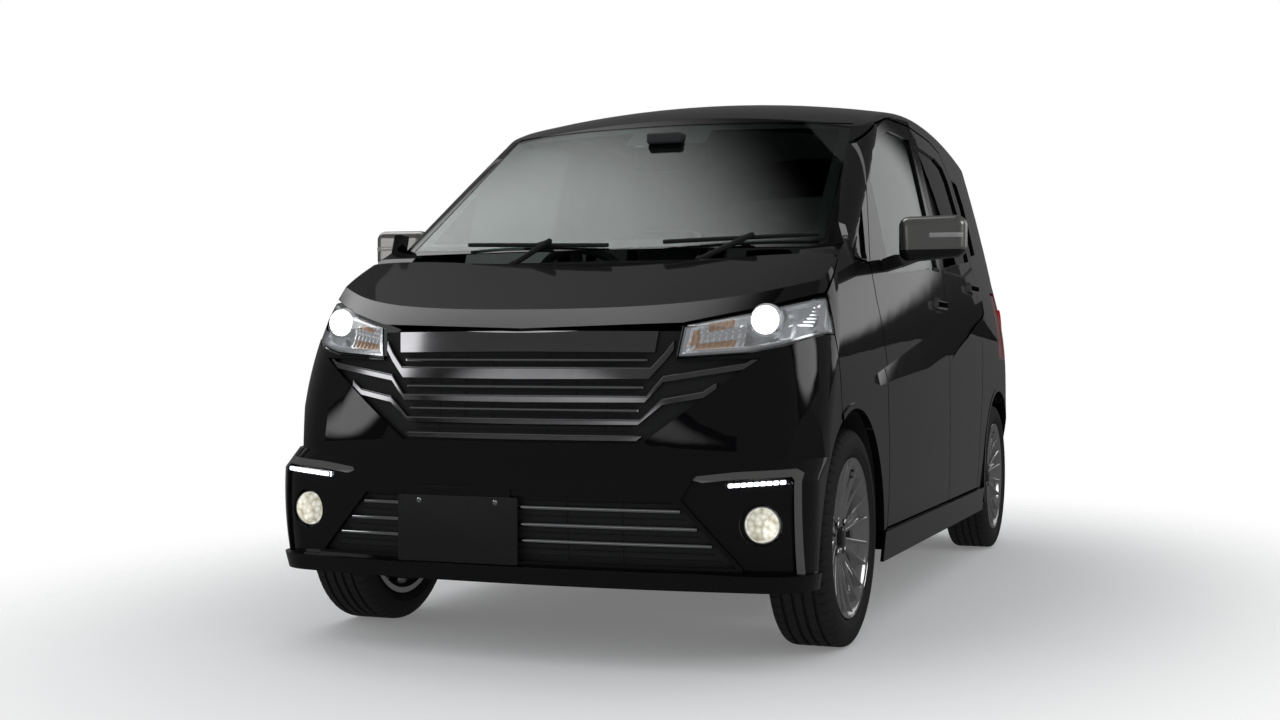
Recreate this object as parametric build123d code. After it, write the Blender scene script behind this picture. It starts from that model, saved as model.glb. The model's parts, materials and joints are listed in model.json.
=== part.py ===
from build123d import *

import math
import os
from functools import cache

# Kei car, five doors. Millimetres. +Z is up, the front faces -Y and +X is the car's left side.
# The origin is on the ground, at the centre of the car's length and width.

# ---------------------------------------------------------------- driving dimensions
LENGTH = 3395.0
WIDTH = 1475.0
HEIGHT = 1620.0
FRONT_AXLE_Y = -1170.0
REAR_AXLE_Y = 1260.0
WHEEL_R = 281.0
TYRE_WIDTH = 165.0
RIM_R = 196.0
FRONT_TRACK = 1300.0
REAR_TRACK = 1290.0

WIDEST_Y = 150.0
BELT_Z = 1040.0
LEDGE_Z = 455.0
GAP = 6.0
SEAT = 0.3
DOOR_WALL = 60.0
CABIN_WALL = 40.0
PANEL = 18.0
HOOD_WALL = 24.0
GLASS = 6.0
ARCH_R = 335.0
ROOF_EDGE_R = 28.0
SILL_Z = 205.0
DOOR_BOTTOM_Z = 270.0

os.makedirs("parts", exist_ok=True)


# ---------------------------------------------------------------- helpers
def prism_x(points, x0, x1):
    """Solid with the (y, z) outline points, from x0 to x1."""
    wire = Wire.make_polygon([Vector(x0, y, z) for y, z in points], close=True)
    return Solid.extrude(Face(wire), Vector(x1 - x0, 0, 0))


def prism_y(points, y0, y1):
    """Solid with the (x, z) outline points, from y0 to y1."""
    wire = Wire.make_polygon([Vector(x, y0, z) for x, z in points], close=True)
    return Solid.extrude(Face(wire), Vector(0, y1 - y0, 0))


def prism_z(points, z0, z1):
    """Solid with the (x, y) outline points, from z0 to z1."""
    wire = Wire.make_polygon([Vector(x, y, z0) for x, y in points], close=True)
    return Solid.extrude(Face(wire), Vector(0, 0, z1 - z0))


def box(x0, x1, y0, y1, z0, z1):
    """Box between two corners."""
    return Pos((x0 + x1) / 2, (y0 + y1) / 2, (z0 + z1) / 2) * Box(x1 - x0, y1 - y0, z1 - z0)


def rod(start, end, radius):
    """Round bar between two points."""
    a, b = Vector(*start), Vector(*end)
    return Solid.make_cylinder(radius, (b - a).length, Plane(origin=a, z_dir=b - a))


def mirrored(shape):
    """The shape and its reflection on the car's other side, as one compound."""
    other = shape.mirror(Plane.YZ)
    return Compound(children=list(shape.solids()) + list(other.solids()))


def biggest(shape):
    """The largest of a shape's solids."""
    return max(shape.solids(), key=lambda piece: piece.volume)


def write(node, shape):
    """Write one node's STEP file."""
    solids = list(shape.solids())
    export_step(solids[0] if len(solids) == 1 else Compound(children=solids), f"parts/{node}.step")


# ---------------------------------------------------------------- body surface
def corner_arc(side_centre, side_r, bow_centre, bow_r, radius, end):
    """Tangent points and middle of the arc that rounds the corner between a side and a bow."""
    a, b = side_r - radius, bow_r - radius
    dx, dy = bow_centre[0] - side_centre[0], bow_centre[1] - side_centre[1]
    span = math.hypot(dx, dy)
    along = (a * a - b * b + span * span) / (2 * span)
    across = math.sqrt(a * a - along * along)
    ux, uy = dx / span, dy / span
    choices = [
        (side_centre[0] + along * ux - across * uy * s, side_centre[1] + along * uy + across * ux * s)
        for s in (1, -1)
    ]
    centre = max(choices, key=lambda p: p[1] * end)

    def tangent(origin, r):
        reach = math.hypot(centre[0] - origin[0], centre[1] - origin[1])
        return tuple(o + (c - o) * r / reach for o, c in zip(origin, centre))

    side, bow = tangent(side_centre, side_r), tangent(bow_centre, bow_r)
    mx, my = side[0] + bow[0] - 2 * centre[0], side[1] + bow[1] - 2 * centre[1]
    reach = math.hypot(mx, my)
    return side, (centre[0] + mx * radius / reach, centre[1] + my * radius / reach), bow


def outline(row, inset=0.0):
    """Face of the body's plan at one height: bowed front, sides and rear with round corners."""
    z, half, side_bow, front, front_bow, front_r, rear, rear_bow, rear_r = row
    half, front, rear = half - inset, front + inset, rear - inset
    side_r = side_bow - inset
    side_centre = (half - side_r, WIDEST_Y)
    fs, fm, fb = corner_arc(
        side_centre, side_r, (0, front + front_bow - inset), front_bow - inset, front_r - inset, -1
    )
    rs, rm, rb = corner_arc(
        side_centre, side_r, (0, rear - rear_bow + inset), rear_bow - inset, rear_r - inset, 1
    )

    def at(p, side=1):
        return Vector(p[0] * side, p[1], z)

    arcs = [
        (at(fb, -1), Vector(0, front, z), at(fb)),
        (at(fb), at(fm), at(fs)),
        (at(fs), Vector(half, WIDEST_Y, z), at(rs)),
        (at(rs), at(rm), at(rb)),
        (at(rb), Vector(0, rear, z), at(rb, -1)),
        (at(rb, -1), at(rm, -1), at(rs, -1)),
        (at(rs, -1), Vector(-half, WIDEST_Y, z), at(fs, -1)),
        (at(fs, -1), at(fm, -1), at(fb, -1)),
    ]
    return Face(Wire([Edge.make_three_point_arc(*arc) for arc in arcs]))


# Plan outlines. Columns: height, half width, side bow radius, front y, front bow radius, front corner radius,
# rear y, rear bow radius, rear corner radius.
PLINTH = [
    (150, 718, 400000, -1660, 3600, 112, 1684, 3600, 160),
    (330, 733, 400000, -1690, 3600, 114, 1697, 3600, 165),
    (LEDGE_Z, 736, 400000, -1690, 3600, 118, 1697, 3600, 170),
]
WAIST = [
    (505, 737, 400000, -1668, 3000, 190, 1692, 3600, 170),
    (640, 737.5, 300000, -1664, 2400, 215, 1680, 3400, 170),
    (790, 736, 120000, -1650, 1950, 280, 1668, 3200, 165),
    (914, 729, 45000, -1618, 1900, 345, 1656, 3100, 160),
    (BELT_Z, 712, 26000, -1560, 1900, 380, 1640, 3000, 150),
    (1110, 697, 24000, -1520, 1900, 390, 1628, 3000, 145),
]
HOUSE = [
    (BELT_Z, 712, 26000, -1145, 2600, 75, 1640, 3000, 150),
    (1250, 668, 24000, -826, 2500, 80, 1600, 2900, 140),
    (1470, 616, 22000, -497, 2350, 85, 1535, 2800, 130),
    (1640, 570, 22000, -246, 2300, 90, 1470, 2800, 120),
]

# Hood top, half the width. Columns: x, crease y and z, a point below the crease y and z, rear y and z.
HOOD_TOP = [
    (0, -1570, 867, -1640, 814, -1180, 1003),
    (400, -1525, 882, -1600, 826, -1160, 1015),
    (640, -1370, 930, -1420, 886, -1090, 1046),
    (780, -1245, 968, -1280, 927, -1060, 1062),
]

# Roof crown, half the width. Columns: x, drop below the middle.
ROOF_CROWN = [(0, 0), (380, 21), (760, 86)]


def both_sides(rows):
    """Rows for -x to +x from rows for the middle outwards."""
    return [(-row[0],) + row[1:] for row in reversed(rows[1:])] + rows


def stack(rows, inset=0.0, ruled=False):
    """Loft through plan outlines."""
    return loft([outline(row, inset) for row in rows], ruled=ruled)


def under_hood(drop=0.0):
    """Everything under the hood's top surface, and all of the car behind it."""

    def section(x, crease_y, crease_z, low_y, low_z, rear_y, rear_z):
        reach = 5.0
        points = [
            (crease_y + (low_y - crease_y) * reach, 0),
            (crease_y + (low_y - crease_y) * reach, crease_z + (low_z - crease_z) * reach - drop),
            (crease_y, crease_z - drop),
            (rear_y, rear_z - drop),
            (rear_y + 1, 1300),
            (1900, 1300),
            (1900, 0),
        ]
        return Face(Wire.make_polygon([Vector(x, y, z) for y, z in points], close=True))

    return loft([section(*row) for row in both_sides(HOOD_TOP)])


def under_roof(drop=0.0):
    """Everything under the roof's top surface."""

    def section(x, crown):
        d = crown + drop
        header, front, top, rear = (-560, 1450 - d), (-100, 1588 - d), (450, HEIGHT - d), (1720, 1518 - d)
        top_arc = Edge.make_tangent_arc(Vector(x, *top), Vector(0, -1, 0), Vector(x, *front))
        front_arc = Edge.make_tangent_arc(Vector(x, *front), top_arc % 1, Vector(x, *header))
        rear_arc = Edge.make_tangent_arc(Vector(x, *top), Vector(0, 1, 0), Vector(x, *rear))
        corners = [rear, (rear[0], 900), (-1300, 900), (-1300, header[1]), header]
        lines = [
            Edge.make_line(Vector(x, *a), Vector(x, *b)) for a, b in zip(corners[:-1], corners[1:])
        ]
        return Face(Wire([front_arc, top_arc, rear_arc] + lines))

    return loft([section(*row) for row in both_sides(ROOF_CROWN)])


@cache
def lower_body(inset):
    """The body below the belt, as a closed solid."""
    plinth = stack(PLINTH, inset)
    ledge = stack([PLINTH[-1], WAIST[0]], inset, ruled=True)
    waist = stack(WAIST, inset) & under_hood(inset)
    return plinth + ledge + waist


@cache
def upper_body(inset):
    """The cabin above the belt, as a closed solid, with a round roof edge on the outer one."""
    house = (stack(HOUSE, inset) & under_roof(inset)).solid()
    if inset:
        return house
    rim = [e for e in house.edges() if e.bounding_box().min.Z > 1400]
    return house.fillet(ROOF_EDGE_R, [e for e in rim if e.bounding_box().size.Y > 2])


def cabin_layer(outer, inner):
    """A layer of the cabin's wall, between two depths below the outer surface."""
    below = (lower_body(outer) - lower_body(inner)) & box(-800, 800, -1130, 1750, 0, BELT_Z)
    return below + (upper_body(outer) - upper_body(inner))


# ---------------------------------------------------------------- shut lines, as (y, z) and (x, z) points
PILLAR_LINE = [(205, DOOR_BOTTOM_Z), (130, 1520)]
FRONT_DOOR = [
    (-752, DOOR_BOTTOM_Z), (-752, 463), (-786, 730), (-848, 908), (-850, 1005), (-698, 1245),
    (-546, 1385), (-380, 1462), (-215, 1500), (0, 1513),
] + [(y - GAP / 2, z) for y, z in reversed(PILLAR_LINE)]
REAR_DOOR = [(y + GAP / 2, z) for y, z in PILLAR_LINE] + [
    (520, 1516), (700, 1498), (800, 1440), (850, 1300), (880, 1120), (885, 850), (862, 620),
    (812, 430), (791, DOOR_BOTTOM_Z),
]
FRONT_WINDOW = [
    (-640, 988), (-640, 1262), (-520, 1365), (-370, 1432), (-205, 1462), (90, 1470), (90, 1044),
]
REAR_WINDOW = [(215, 1052), (215, 1466), (560, 1462), (690, 1444), (752, 1400), (806, 1280), (832, 1106)]
QUARTER_WINDOW = [(910, 1130), (896, 1300), (858, 1420), (1000, 1412), (1054, 1330), (1070, 1146)]
NOSE_WINDOW = [(-1000, 1020), (-872, 1020), (-872, 1040), (-812, 1170)]

FENDER = [
    (-1338, 800), (-1320, 908), (-1200, 985), (-1085, 1056), (-1078, 1106), (-1018, 1104),
    (-1006, 1012), (-858, 1006), (-856, 908), (-794, 730), (-758, 463), (-758, 268),
    (-1170, 268), (-1170, WHEEL_R), (-1300, 590), (-1315, 660),
]
HOOD_SIDE = [
    (-1800, 700), (-1338, 700), (-1338, 908), (-1318, 918), (-1200, 991), (-1091, 1060), (-1074, 1120),
    (-1800, 1120),
]
LAMP = [(400, 745), (411, 822), (560, 858), (706, 905), (712, 806), (640, 776), (560, 756)]
GRILLE = [(0, 540), (322, 540), (590, 742), (395, 738), (406, 822), (0, 810)]
POCKET = [(458, 456), (466, 465), (560, 476), (690, 484), (706, 474), (709, 236), (574, 236), (574, 248), (430, 408)]
BEZEL = [
    (458, 456), (466, 465), (560, 476), (690, 484), (706, 474), (709, 236), (694, 236), (692, 458), (684, 466),
    (564, 460), (480, 450),
]
RUNNING_LAMP = [(536, 437), (680, 448), (680, 461), (536, 450)]
POCKET_DEPTH = 9.0
LOWER_MOUTH = [(0, 248), (560, 248), (418, 404), (0, 408)]
TAILGATE = [
    (0, 560), (430, 560), (520, 640), (566, 740), (590, 1010), (578, 1080), (545, 1250), (500, 1440),
    (486, 1600), (0, 1600),
]
REAR_WINDOW_XZ = [(0, 1090), (490, 1098), (505, 1140), (448, 1420), (0, 1440)]
TAIL_LAMP = [(596, 745), (600, 1005), (760, 1010), (760, 745)]
WINDSCREEN = [(0, 1046), (320, 1049), (620, 1058), (553, 1460), (300, 1470), (0, 1474)]


def full(points):
    """The (x, z) outline of both halves from the outline of the +x half, middle first and last."""
    return points + [(-x, z) for x, z in reversed(points) if x > 0]


def grown(points, by):
    """The outline moved outwards by a distance."""
    wire = Wire.make_polygon([Vector(a, b, 0) for a, b in points], close=True)
    return [(v.X, v.Y) for v in wire.offset_2d(by, kind=Kind.INTERSECTION).vertices()]


WINDSCREEN_OUTLINE = full(WINDSCREEN)


def side_prism(points, inner=575.0):
    """Cutter for the left side with a (y, z) outline."""
    return prism_x(points, inner, 900)


def arch(axle_y, radius, x0=300.0, x1=900.0):
    """Cylinder of a wheel opening."""
    return rod((x0, axle_y, WHEEL_R), (x1, axle_y, WHEEL_R), radius)


def arch_lip(axle_y):
    """Raised lip round a wheel opening of the left side."""
    return arch(axle_y, ARCH_R + 15, 719, WIDTH / 2) - arch(axle_y, ARCH_R, 700, 760)


# ---------------------------------------------------------------- shells
lower_outer = lower_body(0)
panel_skin = lower_outer - lower_body(PANEL)
hood_skin = lower_outer - lower_body(HOOD_WALL)
upper_outer = upper_body(0)
rear_of_hood = box(-800, 800, -1130, 1750, 0, BELT_Z)
upper_shell = upper_outer - upper_body(CABIN_WALL)
cabin_wall = ((lower_outer - lower_body(DOOR_WALL)) & rear_of_hood) + upper_shell
glass_layer = cabin_layer(8, 8 + GLASS)

# Channel under the shoulder crease. Columns: y, crease z, bottom z, x of the surface, depth.
CREASE = [
    (-950, 700, 660, 733.6, 2), (-880, 712, 650, 734.4, 7), (104, 863, 720, 732.4, 8),
    (560, 919, 790, 726.4, 8), (940, 964, 850, 715.5, 6), (1010, 972, 900, 712.5, 2),
]


def crease_section(y, crease_z, bottom_z, x, depth):
    """Triangle that the channel cuts from the side at one y."""
    corners = [(x + 14, crease_z + 3), (x - depth, crease_z - 5), (x + 6, bottom_z)]
    return Face(Wire.make_polygon([Vector(cx, y, cz) for cx, cz in corners], close=True))


channel = loft([crease_section(*row) for row in CREASE], ruled=True)

# ---------------------------------------------------------------- doors
for name, outline_yz, window in (("front", FRONT_DOOR, FRONT_WINDOW), ("rear", REAR_DOOR, REAR_WINDOW)):
    panel = (cabin_wall & side_prism(outline_yz)) - side_prism(window) - channel
    glass = glass_layer & side_prism(window)
    for side in ("left", "right"):
        turn = (lambda s: s) if side == "left" else (lambda s: s.mirror(Plane.YZ))
        write(f"{name}_door_{side}", turn(panel))
        write(f"{name}_door_glass_{side}", turn(glass))

# Door handles. Columns: node start, middle y, middle z.
for name, hy, hz in (("front", 20, 919), ("rear", 725, 1000)):
    reach = 733.5 if name == "front" else 722
    grip = box(reach - 2, reach + 12, hy - 85, hy + 75, hz - 14, hz + 14)
    grip = fillet(grip.edges().filter_by(Axis.Y), 6)
    foot = box(reach - 26, reach, hy - 78, hy - 58, hz - 10, hz + 10)
    grip = grip + foot + foot.moved(Location((0, 126, 0)))
    handle = (grip - (cabin_wall & box(600, 760, hy - 120, hy + 120, hz - 60, hz + 60))).solids()
    handle = max(handle, key=lambda piece: piece.volume)
    write(f"{name}_handle_left", handle)
    write(f"{name}_handle_right", handle.mirror(Plane.YZ))

# Outside mirrors
MIRROR_ENDS = [(752, -744, -640, 1018, 1146), (938, -724, -646, 1034, 1150)]
ends = [
    Face(Wire.make_polygon([Vector(x, y0, z0), Vector(x, y1, z0), Vector(x, y1, z1), Vector(x, y0, z1)], close=True))
    for x, y0, y1, z0, z1 in MIRROR_ENDS
]
shell = loft(ends, ruled=True)
shell = fillet(shell.edges(), 28)
shell = shell - box(768, 924, -654, -600, 1040, 1136)
arm = prism_y([(704, 992), (760, 1008), (800, 1022), (800, 1040), (740, 1040), (704, 1028)], -720, -672)
mirror = (shell + arm) - upper_outer - lower_outer
mirror = max(mirror.solids(), key=lambda piece: piece.volume)
write("mirror_left", mirror)
write("mirror_right", mirror.mirror(Plane.YZ))

# ---------------------------------------------------------------- hood, fenders and front bumper
# Number plate holes: pitch and radius of both pairs, and the front pair's middle.
PLATE_PITCH = 210.0
PLATE_BOLT_R = 3.5
PLATE_X = -146.0
PLATE_BOLT_Z = 390.0
BRACKET_Y = -LENGTH / 2 + 3
BRACKET_WALL = 9.0
BRACKET_HALF = 144.0
HOOD_LINE = [(0, 818), (409, 831), (560, 867), (709, 914), (800, 935)]
LAMP_OUTER = [(-1338, 700), (-1338, 806), (-1320, 908), (-1318, 950), (-1800, 950), (-1800, 700)]


def above(line, top):
    """The (x, z) outline of everything above a line, both halves."""
    whole = [(-x, z) for x, z in reversed(line) if x > 0] + line
    return whole + [(line[-1][0], top), (-line[-1][0], top)]


def lowered(line, by):
    """The line moved down."""
    return [(x, z - by) for x, z in line]


hood_rear = [(-800, -1800), (800, -1800), (800, -1062), (640, -1093), (400, -1163), (0, -1184)]
hood_rear += [(-400, -1163), (-640, -1093), (-800, -1062)]
hood_zone = prism_x(HOOD_SIDE, -800, 800) & prism_y(above(HOOD_LINE, 1200), -1800, -1000)
hood = hood_skin & hood_zone & prism_z(hood_rear, 700, 1200)
write("hood", biggest(hood))

fender = panel_skin & side_prism(FENDER)
fender = fender - arch(FRONT_AXLE_Y, ARCH_R)
fender = fender + (arch_lip(FRONT_AXLE_Y) & side_prism(FENDER)) - channel
write("front_fenders", mirrored(max(fender.solids(), key=lambda piece: piece.volume)))

lamp_wide = LAMP[:3] + [(800, 930), (800, 800)] + LAMP[4:]
lamp_zone = prism_y(lamp_wide, -1800, -1200) & prism_x(LAMP_OUTER, 0, 900)
lamp_cut = prism_y(grown(lamp_wide, 3), -1800, -1200) & prism_x(grown(LAMP_OUTER, 3), 0, 900)
FRONT_BUMPER = [
    (-1800, 150), (-1800, 950), (-1346, 950), (-1346, 800), (-1321, 660), (-1306, 590),
    (-1170, WHEEL_R), (-1170, 150),
]
bumper = panel_skin & prism_x(FRONT_BUMPER, -900, 900)
bumper = bumper & box(-900, 900, -1800, -1000, 232, 950)
bumper = bumper - arch(FRONT_AXLE_Y, ARCH_R, -900, 900)
bumper = bumper - prism_y(grown(full(GRILLE), 2), -1800, -1300)
bumper = bumper - lamp_cut - lamp_cut.mirror(Plane.YZ)
bumper = bumper - prism_y(above(lowered(HOOD_LINE, 8), 1200), -1800, -1000)
bumper = bumper - prism_y(full(LOWER_MOUTH), -1800, -1500)
bumper = max(bumper.solids(), key=lambda piece: piece.volume)
pocket_layer = lower_outer - lower_body(POCKET_DEPTH)
pocket = pocket_layer & prism_y(POCKET, -1800, -1300)
bumper = bumper - pocket - pocket.mirror(Plane.YZ)
for fog_x in (-616, 616):
    bumper = bumper - rod((fog_x, -1800, 351), (fog_x, -1500, 351), 50)
bracket = box(
    PLATE_X - BRACKET_HALF, PLATE_X + BRACKET_HALF, BRACKET_Y, BRACKET_Y + BRACKET_WALL, PLATE_BOLT_Z - 14, 424
)
bumper = bumper + bracket
for bolt_x in (PLATE_X - PLATE_PITCH / 2, PLATE_X + PLATE_PITCH / 2):
    bumper = bumper - rod((bolt_x, -1800, PLATE_BOLT_Z), (bolt_x, -1600, PLATE_BOLT_Z), PLATE_BOLT_R)
write("front_bumper", bumper)

trim_layer = lower_outer - lower_body(8 + SEAT)
write("fog_bezels", mirrored(biggest(trim_layer & prism_y(BEZEL, -1800, -1300))))

running = (lower_body(2) - lower_body(8 + SEAT)) & prism_y(RUNNING_LAMP, -1800, -1300)
fog = rod((616, -1612, 351), (616, -1560, 351), 42)
fog = fog + (rod((616, -1700, 351), (616, -1500, 351), 58) & (lower_body(PANEL + SEAT) - lower_body(HOOD_WALL + SEAT)))
fog = biggest(fog)
write("fog_lamps", mirrored(Compound(children=[fog, biggest(running)])))

lamp_layer = lower_body(2) - lower_body(8)
lens = lamp_layer & lamp_zone
write("headlamp_lenses", mirrored(max(lens.solids(), key=lambda piece: piece.volume)))
LAMP_DEPTH = 75.0
lamp_depth = lower_body(8 + SEAT) - lower_body(LAMP_DEPTH)
housing = lamp_depth & prism_y(grown(lamp_wide, -4), -1800, -1200)
housing = housing & prism_x(grown(LAMP_OUTER, -4), 0, 900)
cavity_prism = prism_y(grown(lamp_wide, -9), -1800, -1200) & prism_x(grown(LAMP_OUTER, -9), 0, 900)
cavity = cavity_prism & lower_outer - lower_body(DOOR_WALL)
housing = max((housing - cavity).solids(), key=lambda piece: piece.volume)
barrel = rod((590, -1440, 838), (590, -1506, 838), 42) - rod((590, -1470, 838), (590, -1520, 838), 37)
projector = (barrel + Pos(590, -1478, 838) * Sphere(33)) & lower_body(14) & cavity_prism
housing = housing + projector
write("headlamp_housings", mirrored(housing))

# Grille bars, half the width. Columns: middle top z, middle bottom z, the bottom edge's points from the end
# of the middle run to the tip, and the wing's height above that edge.
BARS = [
    (812, 761, [(347, 759), (353, 810)], 0),
    (722, 693, [(335, 695), (372, 737), (392, 765)], 22),
    (653, 636, [(327, 638), (370, 687), (565, 719), (594, 741)], 15),
    (596, 582, [(312, 584), (370, 632), (469, 650), (498, 671)], 15),
    (558, 544, [(308, 545), (322, 556)], 0),
]
THIN_BARS = [(742, 737, 330), (676, 671, 322), (620, 615, 312)]
face_layer = (lower_body(6) - lower_body(PANEL)) & box(-700, 700, -1800, -1400, 250, 830)
fin_layer = face_layer & lower_body(POCKET_DEPTH)
back_layer = lower_body(PANEL + SEAT) - lower_body(HOOD_WALL + SEAT)
opening = prism_y(full(GRILLE), -1800, -1300)
bars = []
for top, bottom, edge, wing in BARS:
    half_bar = [(0, bottom)] + edge + [(x, z + wing) for x, z in reversed(edge[1:]) if wing]
    half_bar = half_bar + [(edge[0][0] + 4, top), (0, top)] if wing else half_bar + [(0, top)]
    bars.append(face_layer & prism_y(full(half_bar), -1800, -1300) & opening)
for top, bottom, half_x in THIN_BARS:
    bars.append(fin_layer & box(-half_x, half_x, -1800, -1300, bottom, top) & opening)
write("upper_grille", Compound(children=[biggest(bar) for bar in bars]))

back = back_layer & prism_y(grown(full(GRILLE), 12), -1800, -1300)
back = back & box(-700, 700, -1800, -1300, 500, 810) - lamp_cut - lamp_cut.mirror(Plane.YZ)
mouth_back = back_layer & prism_y(grown(full(LOWER_MOUTH), 14), -1800, -1500)
write("grille_backs", Compound(children=[biggest(back), biggest(mouth_back)]))
bracket_room = box(
    PLATE_X - BRACKET_HALF - SEAT, PLATE_X + BRACKET_HALF + SEAT, -1800, BRACKET_Y + BRACKET_WALL + SEAT, 300, 424
)
strips = [
    (face_layer & box(-half_x, half_x, -1800, -1500, z - 5, z + 5)) - bracket_room
    for z, half_x in ((380, 430), (338, 470), (298, 505))
]
write("lower_grille", Compound(children=[biggest(strip) for strip in strips]))

# Lip under the bumper. Same columns as the plan outlines.
LIP = [
    (192, 728, 400000, -1690, 3600, 130, 1684, 3600, 160),
    (232, 736, 400000, -LENGTH / 2, 3600, 130, 1690, 3600, 160),
]
lip = stack(LIP) - stack(PLINTH, 22)
lip = lip & box(-800, 800, -1800, -1480, 192, 232)
lip = lip - arch(FRONT_AXLE_Y, ARCH_R, -900, 900)
write("front_lip", lip)

# ---------------------------------------------------------------- cabin shell
roof_plan = [
    (-560, -640), (560, -640), (560, -440), (545, -300), (536, 1434), (-536, 1434), (-545, -300),
    (-560, -440),
]
screen_cut = prism_y(grown(WINDSCREEN_OUTLINE, SEAT), -1300, -300)
roof = upper_shell & prism_z(roof_plan, 1400, 1700)
roof = biggest(roof - screen_cut)
write("roof", roof)

windscreen = (upper_body(2) - upper_body(2 + GLASS)) & prism_y(WINDSCREEN_OUTLINE, -1300, -300)
write("windscreen", biggest(windscreen))

gate_side = [(1440, 1700), (1440, 1480), (1380, 1400), (1380, 500), (1800, 500), (1800, 1700)]
gate_zone = prism_y(full(TAILGATE), 1300, 1800) & prism_x(gate_side, -900, 900)
gate_cut = prism_y(grown(full(TAILGATE), GAP + 2), 1300, 1800)
gate_cut = gate_cut & prism_x([(1434, 1700), (1434, 1474), (1300, 1400), (1300, 500), (1800, 500), (1800, 1700)], -900, 900)
rear_window_cut = prism_y(full(REAR_WINDOW_XZ), 1300, 1800)
tailgate = biggest((cabin_wall & gate_zone) - rear_window_cut)
SPOILER = [(1450, 1562), (1450, 1540), (1560, 1490), (1612, 1496), (1630, 1512), (1618, 1522), (1540, 1548)]
SPOILER_PLAN = [(-470, 1450), (470, 1450), (486, 1560), (470, 1600), (300, 1632), (-300, 1632), (-470, 1600), (-486, 1560)]
tailgate = tailgate + (prism_x(SPOILER, -500, 500) & prism_z(SPOILER_PLAN, 1400, 1700))
REAR_PLATE_Y, REAR_PLATE_Z = 1672.0, 790.0
for bolt_x in (-PLATE_PITCH / 2, PLATE_PITCH / 2):
    tailgate = tailgate + rod((bolt_x, 1650, REAR_PLATE_Z), (bolt_x, REAR_PLATE_Y, REAR_PLATE_Z), 12)
    tailgate = tailgate - rod((bolt_x, 1645, REAR_PLATE_Z), (bolt_x, 1700, REAR_PLATE_Z), PLATE_BOLT_R)
write("tailgate", tailgate)
write("tailgate_glass", biggest(glass_layer & rear_window_cut & gate_zone))

roof_zone = prism_z(grown(roof_plan, 0.5), 1400, 1700)
REAR_BUMPER = [(1445, 556), (1500, 598), (1800, 598), (1800, 150), (1260, 150), (1260, WHEEL_R)]
JACK_Z = 188.0
FRAME_SIDE = [
    (-1300, 1044), (-1002, 1044), (-1000, 1018), (-852, 1012), (-850, 908), (-788, 730), (-752, 463), (-752, SILL_Z),
    (1260, SILL_Z), (1260, WHEEL_R), (1439, 560), (1494, 604), (1800, 604), (1800, 1700), (-1300, 1700),
]
tail_cut = prism_y(grown(TAIL_LAMP, SEAT), 1300, 1800)
frame = cabin_wall & prism_x(FRAME_SIDE, 0, 900)
frame = frame - prism_x(grown(FRONT_DOOR, GAP), 560, 900) - prism_x(grown(REAR_DOOR, GAP + 1), 560, 900)
frame = frame - screen_cut - roof_zone - gate_cut - tail_cut - prism_x(grown(FENDER, 4), 640, 900)
frame = frame - side_prism(QUARTER_WINDOW) - side_prism(NOSE_WINDOW, 600)
frame = frame - arch(REAR_AXLE_Y, ARCH_R, 560)
frame = frame + (arch_lip(REAR_AXLE_Y) & prism_x(FRAME_SIDE, 0, 900)) - channel
frame = Compound(children=[piece for piece in frame.solids() if piece.volume > 2e5])
B_PILLAR = [
    (648, 216), (648, 860), (622, 1040), (584, 1250), (537, 1452), (557, 1532), (552, 1537),
    (506, 1470), (546, 1250), (584, 1040), (608, 860), (608, 216),
]
pillar = prism_y(B_PILLAR, 150, 245) + box(608, 690, 150, 245, 216, 260)
hinge_pillar = box(566, 600, -818, -740, 216, 1030) + box(566, 690, -818, -740, 216, 260)
hinge_pillar = hinge_pillar + prism_z([(566, -818), (600, -818), (600, -868), (660, -880), (660, -905), (566, -905)], 1000, 1030)
frame = frame + pillar + hinge_pillar
for striker_y, striker_z in ((112, 620), (856, 900)):
    striker = box(630, 700, striker_y, striker_y + 60, striker_z, striker_z + 30)
    frame = frame + (striker & lower_body(DOOR_WALL + SEAT))
frame = frame + box(630, 690, 895, 916, 900, 930)
for jack_y in (-590, 670):
    frame = frame + box(684, 712, jack_y - 35, jack_y + 35, JACK_Z, 212)
write("side_frame_left", frame)
write("side_frame_right", frame.mirror(Plane.YZ))

quarter = glass_layer & side_prism(QUARTER_WINDOW)
nose_glass = glass_layer & side_prism(NOSE_WINDOW, 600)
write("quarter_glasses", mirrored(Compound(children=[biggest(quarter), biggest(nose_glass)])))

lamp = cabin_wall & prism_y(TAIL_LAMP, 1300, 1800) & box(0, 900, 1420, 1800, 700, 1040)
write("tail_lamps", mirrored(biggest(lamp)))

rear_bumper = panel_skin & prism_x(REAR_BUMPER, -900, 900)
rear_bumper = rear_bumper - arch(REAR_AXLE_Y, ARCH_R, -900, 900)
rear_bumper = biggest(rear_bumper - prism_y(grown(full(TAILGATE), GAP), 1300, 1800))
write("rear_bumper", rear_bumper)

skirt_zone = box(0, 900, -812, 905, 178, 262)
skirt = (stack(PLINTH, -10) - stack(PLINTH, -0.5)) & skirt_zone
skirt = skirt - arch(FRONT_AXLE_Y, ARCH_R + 4) - arch(REAR_AXLE_Y, ARCH_R + 4)
write("side_skirts", mirrored(biggest(skirt)))

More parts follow.
